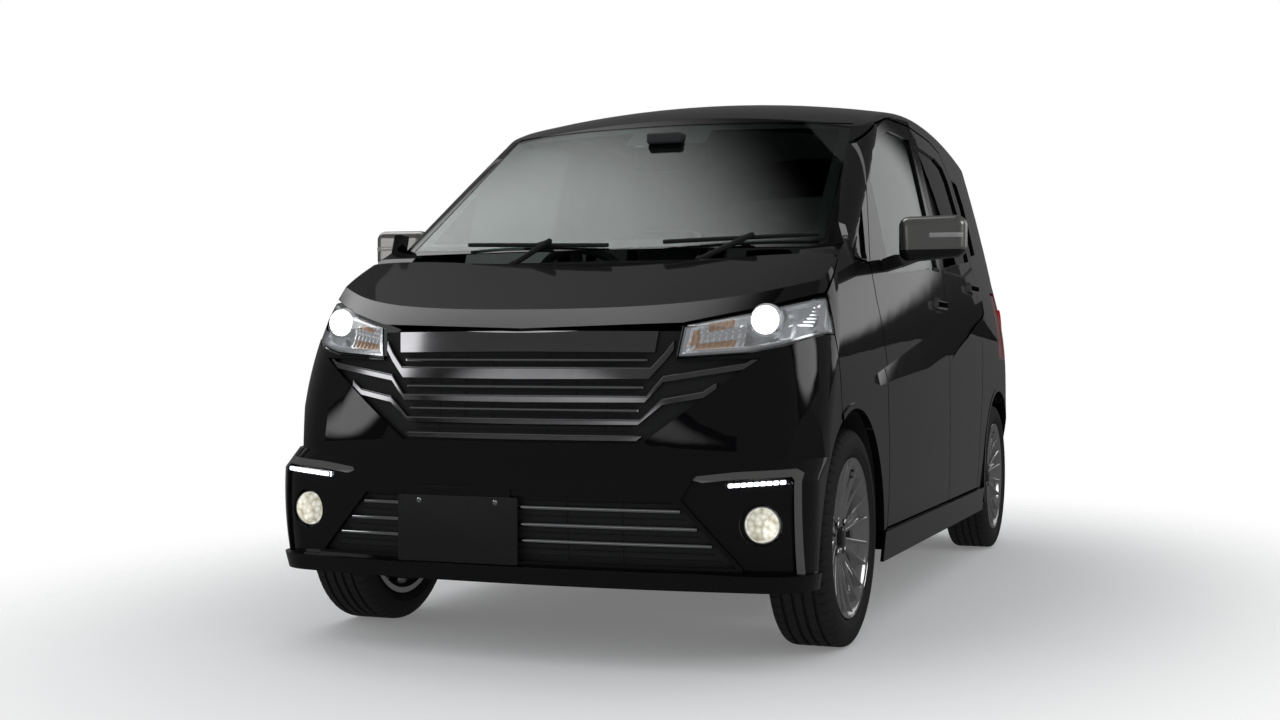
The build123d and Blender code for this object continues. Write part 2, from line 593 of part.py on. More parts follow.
# Cowl between the hood and the windscreen. Columns: x, y of the rear edge.
COWL_REAR = [(0, -1088), (320, -1066), (600, -1006)]
cowl_front = [(x, y + GAP) for x, y in hood_rear[3:6] + hood_rear[6:8]]
cowl_plan = cowl_front + [(-x, y) for x, y in reversed(COWL_REAR[1:])] + COWL_REAR
cowl = prism_z(cowl_plan, 950, 958)
riser = [(x, y - 52) for x, y in COWL_REAR]
riser = [(-x, y) for x, y in reversed(riser[1:])] + riser
riser_back = [(x, y + 14) for x, y in reversed(riser)]
cowl = cowl + prism_z(riser + riser_back, 950, 1012)
write("cowl_panel", cowl)

# Wipers on the screen's foot: pivot, end of the arm and both ends of the blade.
WIPERS = [
    ((-250, -1150, 1008), (-150, -1126, 1072), (-420, -1086, 1070), (30, -1134, 1056)),
    ((300, -1148, 1010), (430, -1090, 1078), (190, -1128, 1062), (602, -1036, 1080)),
]
wipers = []
for pivot, elbow, blade_start, blade_end in WIPERS:
    middle = tuple((a + b) / 2 for a, b in zip(blade_start, blade_end))
    wiper = rod(pivot, elbow, 8) + Pos(*elbow) * Sphere(8) + rod(elbow, middle, 6)
    wiper = wiper + rod(blade_start, blade_end, 6) + rod(tuple(v - d for v, d in zip(pivot, (0, 0, 22))), pivot, 11)
    wiper = wiper + Pos(*pivot) * Sphere(11)
    wipers.append(biggest(wiper - upper_outer - cowl))
write("wipers", Compound(children=wipers))

# ---------------------------------------------------------------- floor and inner structure
FLOOR_SIDE = [
    (-1010, 560), (-1010, 950), (-985, 950), (-985, 572), (-900, 372), (-745, 238), (830, 238),
    (930, 400), (1570, 400), (1570, 372), (950, 372), (850, 200), (-760, 200), (-925, 352),
]
SILL_IN = 566 - SEAT
floor = prism_x(FLOOR_SIDE, -398, 398)
floor = floor + prism_x([(-745, 238), (830, 238), (850, 200), (-760, 200)], -SILL_IN, SILL_IN)
floor = floor + prism_x([(830, 238), (930, 400), (1570, 400), (1570, 372), (950, 372), (850, 200)], -470, 470)
floor = floor + box(-600, 600, -1010, -985, 640, 950)
for side in (-1, 1):
    well = rod((side * 462, REAR_AXLE_Y, WHEEL_R), (side * 640, REAR_AXLE_Y, WHEEL_R), ARCH_R + 12)
    well = well - rod((side * 484, REAR_AXLE_Y, WHEEL_R), (side * 640, REAR_AXLE_Y, WHEEL_R), ARCH_R + 6)
    floor = floor + (well & box(-632, 632, 800, 1592, 372, 800))
tail_panel = box(-470, 470, 1552, 1570, 372, 610)
crash_boxes = mirrored(box(300, 380, 1560, 1700, 470, 550)) & lower_body(PANEL + SEAT)
striker = box(-30, 30, 1560, 1700, 580, 610) & lower_body(DOOR_WALL + SEAT)
floor = floor + tail_panel + crash_boxes + striker
for side in (-1, 1):
    floor = floor + box(side * 502 - 30, side * 502 + 30, 835, 860 - SEAT, 210, 318)
    apron = box(side * 500 - 96, side * 500 + 96, -1010, -985, 540, 650)
    floor = floor + (apron - rod((side * 380, FRONT_AXLE_Y, WHEEL_R), (side * 640, FRONT_AXLE_Y, WHEEL_R), ARCH_R + 5 + SEAT))
write("floor_pan", floor)

LINER_X = 402.0
liner = arch(FRONT_AXLE_Y, ARCH_R + 5, LINER_X, 740) - arch(FRONT_AXLE_Y, ARCH_R, LINER_X + 4, 740)
strut_gap = box(LINER_X - 5, 618, FRONT_AXLE_Y - 176, FRONT_AXLE_Y + 176, 200, 900)
liner = (liner & box(300, 800, -1600, -700, 235, 900)) - strut_gap
liner = biggest(liner & lower_body(PANEL + SEAT))
write("front_arch_liners", mirrored(liner))

# ---------------------------------------------------------------- engine bay and running gear
KINGPIN_X = 620.0
BALL_JOINT_Z = 137.0
engine = box(-230, 250, -1420, -1060, 285, 720)
for foot_x in (-200, 200):
    engine = engine + box(foot_x - 30, foot_x + 30, -1230, -1130, 238, 285)
write("engine_block", engine)
core = box(-680, 680, -1640, -1556, 480, 520) & lower_body(PANEL + SEAT)
latch_post = box(-30, 30, -1584, -1552, 600, 900) & lower_body(HOOD_WALL + SEAT)
radiator = box(-260, 260, -1588, -1552, 270, 640) + core + latch_post
for post_x in (-470, 470):
    post = box(post_x - 30, post_x + 30, -1584, -1440, 490, 780) & lower_body(LAMP_DEPTH + SEAT)
    radiator = radiator + (post - box(-700, 700, -1548, -1400, 0, 740))
write("radiator", biggest(radiator))

RAIL_SIDE = [(-1290, 196), (-1290, 238), (-802, 238), (-761, 200), (-765, 196)]
subframe = box(-330, 330, -1240, -1120, 196, 238)
for side in (-1, 1):
    subframe = subframe + prism_x(RAIL_SIDE, side * 330 - 30, side * 330 + 30)
    arm = [(330, 216), (560, 131), (634, 131), (634, 116), (556, 116), (330, 197)]
    arm = [(side * x, z) for x, z in arm]
    subframe = subframe + prism_y(arm, -1192, -1148)
    foot = (side * KINGPIN_X, FRONT_AXLE_Y)
    subframe = subframe + rod((*foot, 124), (*foot, BALL_JOINT_Z - SEAT), 14)
subframe = subframe + rod((-420, -1100, 250), (420, -1100, 250), 20)
write("front_subframe", subframe)

tank = box(-380, 380, -500, 100, 160, 200)
tank = fillet(tank.edges().filter_by(Axis.Z), 60)
write("fuel_tank", tank)
PIPE = [(200, 120, 165), (200, 880, 165), (200, 1090, 215), (200, 1530, 262)]
exhaust = rod((-330, 1545, 272), (250, 1545, 272), 62)
for start, end in zip(PIPE[:-1], PIPE[1:]):
    exhaust = exhaust + rod(start, end, 20) + Pos(*end) * Sphere(20)
for hanger_x in (-300, 180):
    exhaust = exhaust + rod((hanger_x, 1545, 320), (hanger_x, 1545, 372 - SEAT), 6)
exhaust = exhaust + rod((200, 300, 178), (200, 300, 200 - SEAT), 6)
write("exhaust", biggest(exhaust))

SPINDLE_R = 14.0
SPINDLE_PLAY = 0.05
HUB_FACE = 55.0
for side, turn in (("left", 1), ("right", -1)):
    carrier = rod((560, FRONT_AXLE_Y, WHEEL_R), (612, FRONT_AXLE_Y, WHEEL_R), 52)
    carrier = carrier + rod((600, FRONT_AXLE_Y, WHEEL_R), (690, FRONT_AXLE_Y, WHEEL_R), SPINDLE_R)
    carrier = carrier + prism_x(
        [(-1190, 142), (-1150, 142), (-1135, 240), (-1135, 320), (-1150, 420), (-1190, 420), (-1205, 300)],
        566, 600,
    )
    carrier = carrier + rod((KINGPIN_X, FRONT_AXLE_Y, BALL_JOINT_Z), (KINGPIN_X, FRONT_AXLE_Y, 158), 13)
    carrier = carrier + box(580, KINGPIN_X + 13, -1186, -1154, 142, 158)
    strut = rod((534, FRONT_AXLE_Y, 380), (520, FRONT_AXLE_Y, 780), 22)
    strut = strut + rod((527, FRONT_AXLE_Y, 595), (527, FRONT_AXLE_Y, 604), 66)
    strut = strut + rod((521, FRONT_AXLE_Y, 762), (521, FRONT_AXLE_Y, 772), 62)
    strut = strut + box(520, 590, -1190, -1150, 380, 420)
    caliper = box(600, 664, -1090, -1030, 246, 316) + box(570, 612, -1150, -1030, 246, 316)
    knuckle = carrier + strut + caliper
    knuckle = knuckle - (
        rod((624, FRONT_AXLE_Y, WHEEL_R), (648, FRONT_AXLE_Y, WHEEL_R), 124)
        - rod((624, FRONT_AXLE_Y, WHEEL_R), (648, FRONT_AXLE_Y, WHEEL_R), 30)
    )
    knuckle = biggest(knuckle)
    write(f"knuckle_{side}", knuckle if turn > 0 else knuckle.mirror(Plane.YZ))

beam = box(-520, 520, 1010, 1070, 262, 318)
for side in (-1, 1):
    beam = beam + prism_z(
        [(side * 474, 860), (side * 530, 860), (side * 555, 1230), (side * 555, 1300), (side * 494, 1300)],
        262, 312,
    )
    beam = beam + rod((side * 540, REAR_AXLE_Y, WHEEL_R), (side * 602, REAR_AXLE_Y, WHEEL_R), 40)
    beam = beam + rod((side * 600, REAR_AXLE_Y, WHEEL_R), (side * 680, REAR_AXLE_Y, WHEEL_R), SPINDLE_R)
write("rear_axle", beam)

# ---------------------------------------------------------------- wheels
RIM_WIDTH = 150.0
SPOKES = 10
SPOKE_ROOT_DEG = 6.5
SPOKE_TIP_DEG = 8.5


def spoke_section(radius, angle, x0, x1, half):
    """Rectangle across a spoke, at a radius and an angle about the wheel's axis."""
    up = Vector(0, math.sin(angle), math.cos(angle))
    across = Vector(0, math.cos(angle), -math.sin(angle)) * half
    corners = [(x0, across), (x1, across), (x1, across * -1), (x0, across * -1)]
    return Face(Wire.make_polygon([up * radius + offset + Vector(x, 0, 0) for x, offset in corners], close=True))


def wheel(track):
    """Rim and tyre of the left wheel, outer face towards +x, centred on its spindle axis."""
    x_in, x_out = track / 2 - RIM_WIDTH / 2, track / 2 + RIM_WIDTH / 2
    lip = RIM_R + 12
    profile = [
        (x_in, RIM_R - 4), (x_in, lip), (x_in + 7, lip), (x_in + 12, RIM_R), (x_out - 12, RIM_R),
        (x_out - 7, lip), (x_out, lip), (x_out, RIM_R - 6), (x_out - 26, RIM_R - 12),
        (x_out - 50, RIM_R - 18), (x_in + 10, RIM_R - 14),
    ]
    barrel = revolve(Face(Wire.make_polygon([Vector(x, 0, r) for x, r in profile], close=True)), Axis.X)
    hub_x = x_out - 34
    hub = Solid.make_cylinder(66, 30, Plane(origin=(hub_x - 22, 0, 0), z_dir=(1, 0, 0)))
    disc = Solid.make_cylinder(118, 12, Plane(origin=(track / 2 - 20, 0, 0), z_dir=(1, 0, 0)))
    hat = Solid.make_cylinder(60, hub_x - 20 - track / 2 + 20, Plane(origin=(track / 2 - 20, 0, 0), z_dir=(1, 0, 0)))
    rim = barrel + hub + disc + hat
    for i in range(SPOKES):
        for side in (-1, 1):
            root = math.radians(side * SPOKE_ROOT_DEG)
            spoke = loft([spoke_section(48, root, hub_x - 20, hub_x + 5, 7), spoke_section(190, math.radians(side * SPOKE_TIP_DEG), x_out - 42, x_out - 5, 5)])
            rim = rim + spoke.rotate(Axis.X, i * 360 / SPOKES)
    bore = Solid.make_cylinder(
        SPINDLE_R + SPINDLE_PLAY, 200, Plane(origin=(track / 2 - 30, 0, 0), z_dir=(1, 0, 0))
    )
    plug = Solid.make_cylinder(26, 8, Plane(origin=(hub_x + 8, 0, 0), z_dir=(1, 0, 0)))
    rim = rim - bore + plug
    half_w = TYRE_WIDTH / 2
    mid = track / 2
    tyre_half = [
        (62, lip - 2), (70, lip + 1), (78, 222), (half_w, 238), (half_w - 2, 258), (72, 274), (58, WHEEL_R),
    ]
    ring = [(mid + x, r) for x, r in tyre_half] + [(mid - x, r) for x, r in reversed(tyre_half)]
    ring = ring[:-1] + [(mid - 62, lip - 2), (mid - 60, RIM_R), (mid + 60, RIM_R)]
    tyre = revolve(Face(Wire.make_polygon([Vector(x, 0, r) for x, r in ring], close=True)), Axis.X)
    return rim, tyre


for end, axle_y, track in (("front", FRONT_AXLE_Y, FRONT_TRACK), ("rear", REAR_AXLE_Y, REAR_TRACK)):
    rim, tyre = wheel(track)
    for node, piece in (("rim", rim), ("tyre", tyre)):
        placed = piece.moved(Location((0, axle_y, WHEEL_R)))
        write(f"{node}_{end}_left", placed)
        write(f"{node}_{end}_right", placed.mirror(Plane.YZ))

# ---------------------------------------------------------------- interior
DRIVER_X = -330.0
COLUMN_TILT = 24.0
wheel_centre = Vector(DRIVER_X, -430, 930)
column_axis = Vector(0, math.cos(math.radians(COLUMN_TILT)), math.sin(math.radians(COLUMN_TILT)))
column = Plane(origin=wheel_centre, x_dir=(1, 0, 0), z_dir=column_axis)
rim_ring = Solid.make_torus(178, 15, column)
boss = Solid.make_cylinder(62, 40, Plane(origin=wheel_centre - column_axis * 46, z_dir=column_axis))
steering = rim_ring + boss
for angle in (0, 180, 270):
    spoke_box = (Pos(104, 0, -16) * Box(170, 34, 18)).rotate(Axis.Z, angle)
    steering = steering + column.location * spoke_box
steering = steering + Solid.make_cylinder(
    20, 90, Plane(origin=wheel_centre - column_axis * 130, z_dir=column_axis)
)
write("steering_wheel", steering)

DASH = [(-975, 700), (-975, 985), (-860, 1012), (-700, 1000), (-640, 930), (-660, 820), (-740, 690), (-760, 600), (-975, 600)]
dash = prism_x(DASH, -SILL_IN, SILL_IN)
shroud_start = wheel_centre - column_axis * (130 + SEAT)
dash = dash + rod(tuple(shroud_start), tuple(shroud_start - column_axis * 190), 46)
write("dashboard", dash)

SEAT_SIDE = [
    (-330, 300), (-340, 470), (-300, 520), (140, 480), (170, 510), (300, 1010), (360, 1010), (345, 900),
    (250, 430), (180, 360), (150, 300),
]
seats = []
for seat_x in (-330, 330):
    seat = prism_x(SEAT_SIDE, seat_x - 245, seat_x + 245)
    head = box(seat_x - 125, seat_x + 125, 320, 410, 1045, 1225)
    head = fillet(head.edges(), 30)
    posts = rod((seat_x - 55, 335, 990), (seat_x - 55, 365, 1080), 7)
    posts = posts + rod((seat_x + 55, 335, 990), (seat_x + 55, 365, 1080), 7)
    for rail_x in (seat_x - 190, seat_x + 190):
        seat = seat + box(rail_x - 20, rail_x + 20, -280, 120, 238, 302)
    seats.append(seat + head + posts)
write("front_seats", Compound(children=[biggest(s) for s in seats]))
BENCH = [
    (930, 400), (770, 430), (700, 560), (760, 590), (1120, 560), (1160, 600), (1270, 1060), (1350, 1060), (1320, 960),
    (1230, 520), (1180, 400),
]
bench = prism_x(BENCH, -460, 460)
for seat_x in (-230, 230):
    head = box(seat_x - 110, seat_x + 110, 1290, 1370, 1085, 1210)
    head = fillet(head.edges(), 26)
    bench = bench + head + rod((seat_x, 1305, 1040), (seat_x, 1330, 1120), 9)
write("rear_seat", bench)

inner_mirror = box(-120, 120, -520, -496, 1330, 1395)
inner_mirror = fillet(inner_mirror.edges().filter_by(Axis.Y), 16)
inner_mirror = inner_mirror + rod((0, -500, 1380), (0, -470, 1440), 10)
pod = box(-70, 70, -540, -400, 1405, 1472) & upper_body(8 + SEAT)
write("interior_mirror", biggest(inner_mirror + pod))
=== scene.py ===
"""Dress the tall five-door kei car: finishes, small fittings, seats, studio and camera.

Everything is in metres in the row frame: +Z is up, the front faces -Y and +X is the car's left side.
"""

import json
import logging
import math
from dataclasses import dataclass, field, replace
from enum import Enum
from typing import Callable, Iterable, Sequence

import bmesh
import bpy
from mathutils import Matrix, Vector
from mathutils.bvhtree import BVHTree

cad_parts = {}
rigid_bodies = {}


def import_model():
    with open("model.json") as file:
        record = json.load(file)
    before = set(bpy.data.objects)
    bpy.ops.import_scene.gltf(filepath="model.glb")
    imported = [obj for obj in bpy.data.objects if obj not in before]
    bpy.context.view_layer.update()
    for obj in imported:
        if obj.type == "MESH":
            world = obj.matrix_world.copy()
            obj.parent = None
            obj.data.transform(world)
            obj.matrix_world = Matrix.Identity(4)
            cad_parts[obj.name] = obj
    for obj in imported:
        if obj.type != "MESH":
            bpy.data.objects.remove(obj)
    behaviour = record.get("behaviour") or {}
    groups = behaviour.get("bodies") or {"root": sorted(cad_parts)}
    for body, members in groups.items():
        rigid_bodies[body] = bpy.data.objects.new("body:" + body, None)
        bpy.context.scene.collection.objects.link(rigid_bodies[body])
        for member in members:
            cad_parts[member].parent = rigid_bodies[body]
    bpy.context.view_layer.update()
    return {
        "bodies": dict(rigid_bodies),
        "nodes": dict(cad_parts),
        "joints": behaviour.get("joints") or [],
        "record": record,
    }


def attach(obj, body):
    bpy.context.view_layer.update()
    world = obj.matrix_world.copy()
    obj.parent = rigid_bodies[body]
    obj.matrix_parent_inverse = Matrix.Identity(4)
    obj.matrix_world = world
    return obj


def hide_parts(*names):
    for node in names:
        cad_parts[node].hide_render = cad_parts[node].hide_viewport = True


LOG = logging.getLogger("kei_car")

FRONT_AXLE_Y = -1.170
REAR_AXLE_Y = 1.260
WHEEL_R = 0.281
FRONT_TRACK = 1.300
REAR_TRACK = 1.290
SIDES = (("left", 1), ("right", -1))
GLOSS_BLACK_TONE = (0.006, 0.006, 0.007)
WHITE = (1.0, 1.0, 1.0, 1.0)
BRUSH_STRETCH = (0.08, 1.0, 1.0)
SLOW_SCALE = 7.0
LOOK_FROM = 2.5

Point = tuple[float, float, float]


class Grain(Enum):
    """Fine surface structure of a finish."""

    FLAKE = "flake"
    BRUSHED = "brushed"
    PEBBLE = "pebble"
    WEAVE = "weave"
    CAST = "cast"
    MOULDED = "moulded"


@dataclass(frozen=True)
class Finish:
    """One procedural finish.

    Attributes:
        name: material name.
        colour: linear base colour.
        dark: colour that the grain or the mottling turns to.
        metallic: metal share of the surface.
        roughness: middle roughness.
        spread: how far the roughness wanders either way.
        grain: the fine structure.
        scale: size of the grain, in cells for each metre.
        bump: depth of the bump, in metres.
        coat: clear coat weight.
        coat_roughness: roughness of the clear coat.
        transmission: share of light let through.
        ior: index of refraction.
        sheen: sheen weight, for cloth.
        glow: emission strength: the light of the lit lamps, and painted glow on the lamp housings and
            reflectors.
        specular: strength of the base layer's own gloss.
        split_z: height below which the surface is plain black, or 0.
        slot: material slot of the record that the finish belongs to; not used.
    """

    name: str
    colour: Point
    dark: Point
    metallic: float = 0.0
    roughness: float = 0.4
    spread: float = 0.04
    grain: Grain = Grain.MOULDED
    scale: float = 400.0
    bump: float = 0.0
    coat: float = 0.0
    coat_roughness: float = 0.02
    transmission: float = 0.0
    ior: float = 1.45
    sheen: float = 0.0
    glow: float = 0.0
    specular: float = 0.5
    split_z: float = 0.0
    slot: str = ""


PAINT = Finish(
    "black_pearl_paint", (0.0022, 0.0022, 0.0028), (0.0045, 0.0045, 0.0058), roughness=0.42,
    grain=Grain.FLAKE, scale=2600, coat=1.0, coat_roughness=0.012, specular=0.06, slot="body_paint",
)
GLOSS_BLACK = Finish(
    "gloss_black", (0.006, 0.006, 0.007), (0.012, 0.012, 0.013), roughness=0.16, scale=90, bump=0.00002,
    coat=0.6, slot="gloss_trim",
)
TRIM = Finish(
    "textured_trim", (0.014, 0.014, 0.015), (0.022, 0.022, 0.023), roughness=0.62, grain=Grain.PEBBLE,
    scale=900, bump=0.00012, slot="black_trim",
)
SMOKED_CHROME = Finish(
    "smoked_chrome", (0.34, 0.34, 0.355), (0.28, 0.28, 0.29), metallic=1.0, roughness=0.12, spread=0.03,
    scale=30, slot="dark_chrome",
)
CHROME = Finish(
    "bright_chrome", (0.68, 0.69, 0.71), (0.60, 0.61, 0.63), metallic=1.0, roughness=0.08, spread=0.03,
    scale=40, slot="bright_chrome",
)
SATIN_GREY = Finish(
    "satin_grey", (0.46, 0.45, 0.44), (0.36, 0.352, 0.345), metallic=0.9, roughness=0.3, grain=Grain.FLAKE,
    scale=2200, coat=0.5, coat_roughness=0.06, slot="dark_chrome",
)
MIRROR_CAP = replace(SATIN_GREY, name="mirror_cap", split_z=1.052)
GLASS = Finish(
    "tinted_glass", (0.62, 0.72, 0.68), (0.58, 0.68, 0.64), roughness=0.0, spread=0.004, transmission=1.0,
    scale=3, slot="clear_glass",
)
PRIVACY = Finish(
    "privacy_glass", (0.10, 0.115, 0.11), (0.085, 0.1, 0.095), roughness=0.0, spread=0.004,
    transmission=1.0, scale=3, slot="privacy_glass",
)
LENS = Finish(
    "clear_lens", (0.97, 0.98, 0.99), (0.94, 0.96, 0.98), roughness=0.0, spread=0.004, transmission=1.0,
    ior=1.3, scale=6, slot="lamp_lens",
)
RED_LENS = Finish(
    "red_lens", (0.42, 0.008, 0.008), (0.24, 0.004, 0.004), roughness=0.08, scale=160, bump=0.0002,
    coat=1.0, slot="red_lens",
)
# Headlamp housing: bright metal with painted glow, since it emits light though it is no lamp.
PAINTED_GLOW_BOWL = Finish(
    "lamp_bowl", (0.78, 0.79, 0.80), (0.62, 0.63, 0.64), metallic=1.0, roughness=0.2, scale=70, bump=0.0004,
    glow=0.08, slot="lamp_bowl",
)
RUBBER = Finish(
    "tyre_rubber", (0.012, 0.012, 0.0125), (0.02, 0.02, 0.02), roughness=0.68, grain=Grain.PEBBLE,
    scale=1200, bump=0.00008, slot="tyre",
)
WHEEL = Finish(
    "smoked_wheel", (0.80, 0.79, 0.80), (0.66, 0.652, 0.66), metallic=1.0, roughness=0.17, scale=60,
    coat=0.4, slot="wheel_metal",
)
CHASSIS = Finish(
    "chassis_coating", (0.018, 0.018, 0.019), (0.035, 0.034, 0.033), roughness=0.6, grain=Grain.PEBBLE,
    scale=240, bump=0.0003, slot="chassis",
)
CAST = Finish(
    "cast_metal", (0.20, 0.20, 0.20), (0.13, 0.125, 0.12), metallic=0.8, roughness=0.5, grain=Grain.CAST,
    scale=500, bump=0.0003, slot="cast_metal",
)
PIPE = Finish(
    "exhaust_steel", (0.36, 0.34, 0.31), (0.22, 0.2, 0.17), metallic=1.0, roughness=0.38,
    grain=Grain.BRUSHED, scale=160, bump=0.0001, slot="exhaust_steel",
)
CABIN = Finish(
    "cabin_plastic", (0.035, 0.035, 0.037), (0.055, 0.055, 0.058), roughness=0.58, grain=Grain.PEBBLE,
    scale=700, bump=0.00015, slot="cabin_plastic",
)
CLOTH = Finish(
    "seat_cloth", (0.030, 0.030, 0.033), (0.060, 0.060, 0.065), roughness=0.9, grain=Grain.WEAVE, scale=520,
    bump=0.0004, sheen=0.5, slot="seat_cloth",
)
DISC = Finish(
    "brake_disc", (0.42, 0.42, 0.43), (0.26, 0.26, 0.265), metallic=1.0, roughness=0.34,
    grain=Grain.BRUSHED, scale=900, bump=0.00008, slot="cast_metal",
)
SPRING = Finish(
    "spring_coating", (0.020, 0.020, 0.022), (0.05, 0.05, 0.052), roughness=0.38, grain=Grain.PEBBLE,
    scale=600, bump=0.00008, slot="chassis",
)
PLATE_DARK = Finish(
    "blank_plate", (0.0085, 0.0085, 0.009), (0.016, 0.016, 0.017), roughness=0.34, scale=120, bump=0.00003,
    slot="black_trim",
)
# Bright reflector metal with painted glow: it emits light though it is no lamp.
PAINTED_GLOW_REFLECTOR = Finish(
    "reflector_with_painted_glow", (0.86, 0.87, 0.88), (0.74, 0.75, 0.77), metallic=1.0, roughness=0.12, scale=90,
    bump=0.0001, glow=0.16, slot="lamp_bowl",
)
# Amber turn-signal reflector with painted glow: it emits light though the signal is not lit.
AMBER_PAINTED_GLOW = Finish(
    "amber_reflector_with_painted_glow", (0.86, 0.66, 0.52), (0.70, 0.42, 0.26), metallic=0.6, roughness=0.22, scale=150,
    bump=0.0002, glow=0.12, slot="lamp_bowl",
)
LAMP_LIGHT = Finish(
    "lit_projector", (1.0, 0.985, 0.93), (0.94, 0.90, 0.80), roughness=0.1, scale=60, coat=1.0, glow=2.4,
    slot="lamp_lens",
)
FOG_LIGHT = Finish(
    "lit_fog_lens", (1.0, 0.99, 0.88), (0.34, 0.30, 0.20), roughness=0.15, grain=Grain.CAST, scale=75,
    bump=0.0006, coat=1.0, glow=0.85, slot="lamp_lens",
)
LED_LIGHT = Finish(
    "lit_diode", (1.0, 1.0, 1.0), (0.88, 0.92, 1.0), roughness=0.1, scale=300, coat=1.0, glow=3.0,
    slot="lamp_lens",
)
CLEAR_PLASTIC = Finish(
    "signal_strip", (0.50, 0.50, 0.51), (0.34, 0.30, 0.27), roughness=0.10, scale=260, bump=0.0002,
    coat=1.0, slot="lamp_lens",
)
MIRROR_GLASS = Finish(
    "mirror_glass", (0.82, 0.84, 0.85), (0.78, 0.80, 0.82), metallic=1.0, roughness=0.02, spread=0.01,
    scale=5, slot="bright_chrome",
)
FRIT = Finish(
    "printed_border", (0.004, 0.004, 0.004), (0.008, 0.008, 0.008), roughness=0.35, grain=Grain.PEBBLE,
    scale=900, slot="black_trim",
)
REVERSING = Finish(
    "reversing_lens", (0.72, 0.72, 0.73), (0.52, 0.52, 0.54), roughness=0.12, grain=Grain.CAST, scale=260,
    bump=0.0003, coat=1.0, slot="lamp_lens",
)
RED_GLOW = Finish(
    "red_light_guide", (0.55, 0.012, 0.012), (0.40, 0.006, 0.006), roughness=0.10, scale=200, bump=0.0001,
    coat=1.0, glow=0.25, slot="red_lens",
)
SCREEN = Finish(
    "display_glass", (0.008, 0.009, 0.011), (0.014, 0.016, 0.020), roughness=0.06, scale=20, coat=1.0,
    slot="cabin_plastic",
)

NODE_FINISH: dict[str, Finish] = {
    "floor_pan": CHASSIS, "side_frame_left": PAINT, "side_frame_right": PAINT, "roof": PAINT,
    "windscreen": GLASS, "cowl_panel": TRIM, "quarter_glasses": PRIVACY, "front_fenders": PAINT,
    "front_bumper": PAINT, "front_lip": PAINT, "upper_grille": SMOKED_CHROME, "lower_grille": CHROME,
    "headlamp_lenses": LENS, "headlamp_housings": PAINTED_GLOW_BOWL, "fog_lamps": LENS, "side_skirts": PAINT,
    "rear_bumper": PAINT, "tail_lamps": RED_LENS, "front_arch_liners": TRIM, "engine_block": CAST,
    "radiator": CAST, "front_subframe": CHASSIS, "fuel_tank": TRIM, "exhaust": PIPE, "rear_axle": CHASSIS,
    "dashboard": CABIN, "front_seats": CLOTH, "rear_seat": CLOTH, "interior_mirror": CABIN,
    "steering_wheel": CABIN, "grille_backs": TRIM, "fog_bezels": SATIN_GREY, "wipers": TRIM,
    "hood": PAINT, "tailgate": PAINT, "tailgate_glass": PRIVACY,
}
FAMILY_FINISH: tuple[tuple[str, Finish], ...] = (
    ("front_door_glass_", GLASS), ("rear_door_glass_", PRIVACY), ("front_door_", PAINT),
    ("rear_door_", PAINT), ("front_handle_", CHROME), ("rear_handle_", CHROME), ("mirror_", MIRROR_CAP),
    ("knuckle_", CAST), ("rim_", WHEEL), ("tyre_", RUBBER),
)


def feed(tree: bpy.types.NodeTree, target: bpy.types.Node, inputs: dict[str | int, object]) -> None:
    """Set or link a node's inputs.

    Args:
        tree: the node tree.
        target: the node.
        inputs: each input's name or number, and its value or the socket that drives it.
    """
    for name, value in inputs.items():
        if isinstance(value, bpy.types.NodeSocket):
            tree.links.new(value, target.inputs[name])
        else:
            target.inputs[name].default_value = value


def shader_node(
    tree: bpy.types.NodeTree, kind: str, inputs: dict[str | int, object] | None = None, **settings: object
) -> bpy.types.ShaderNode:
    """Add a node to a tree.

    Args:
        tree: the node tree.
        kind: the node's type, without the first word of its name.
        inputs: each input's name or number, and its value or the socket that drives it.
        settings: the node's own properties.

    Returns:
        The new node.
    """
    made = tree.nodes.new(f"ShaderNode{kind}")
    for name, value in settings.items():
        setattr(made, name, value)
    feed(tree, made, inputs or {})
    return made


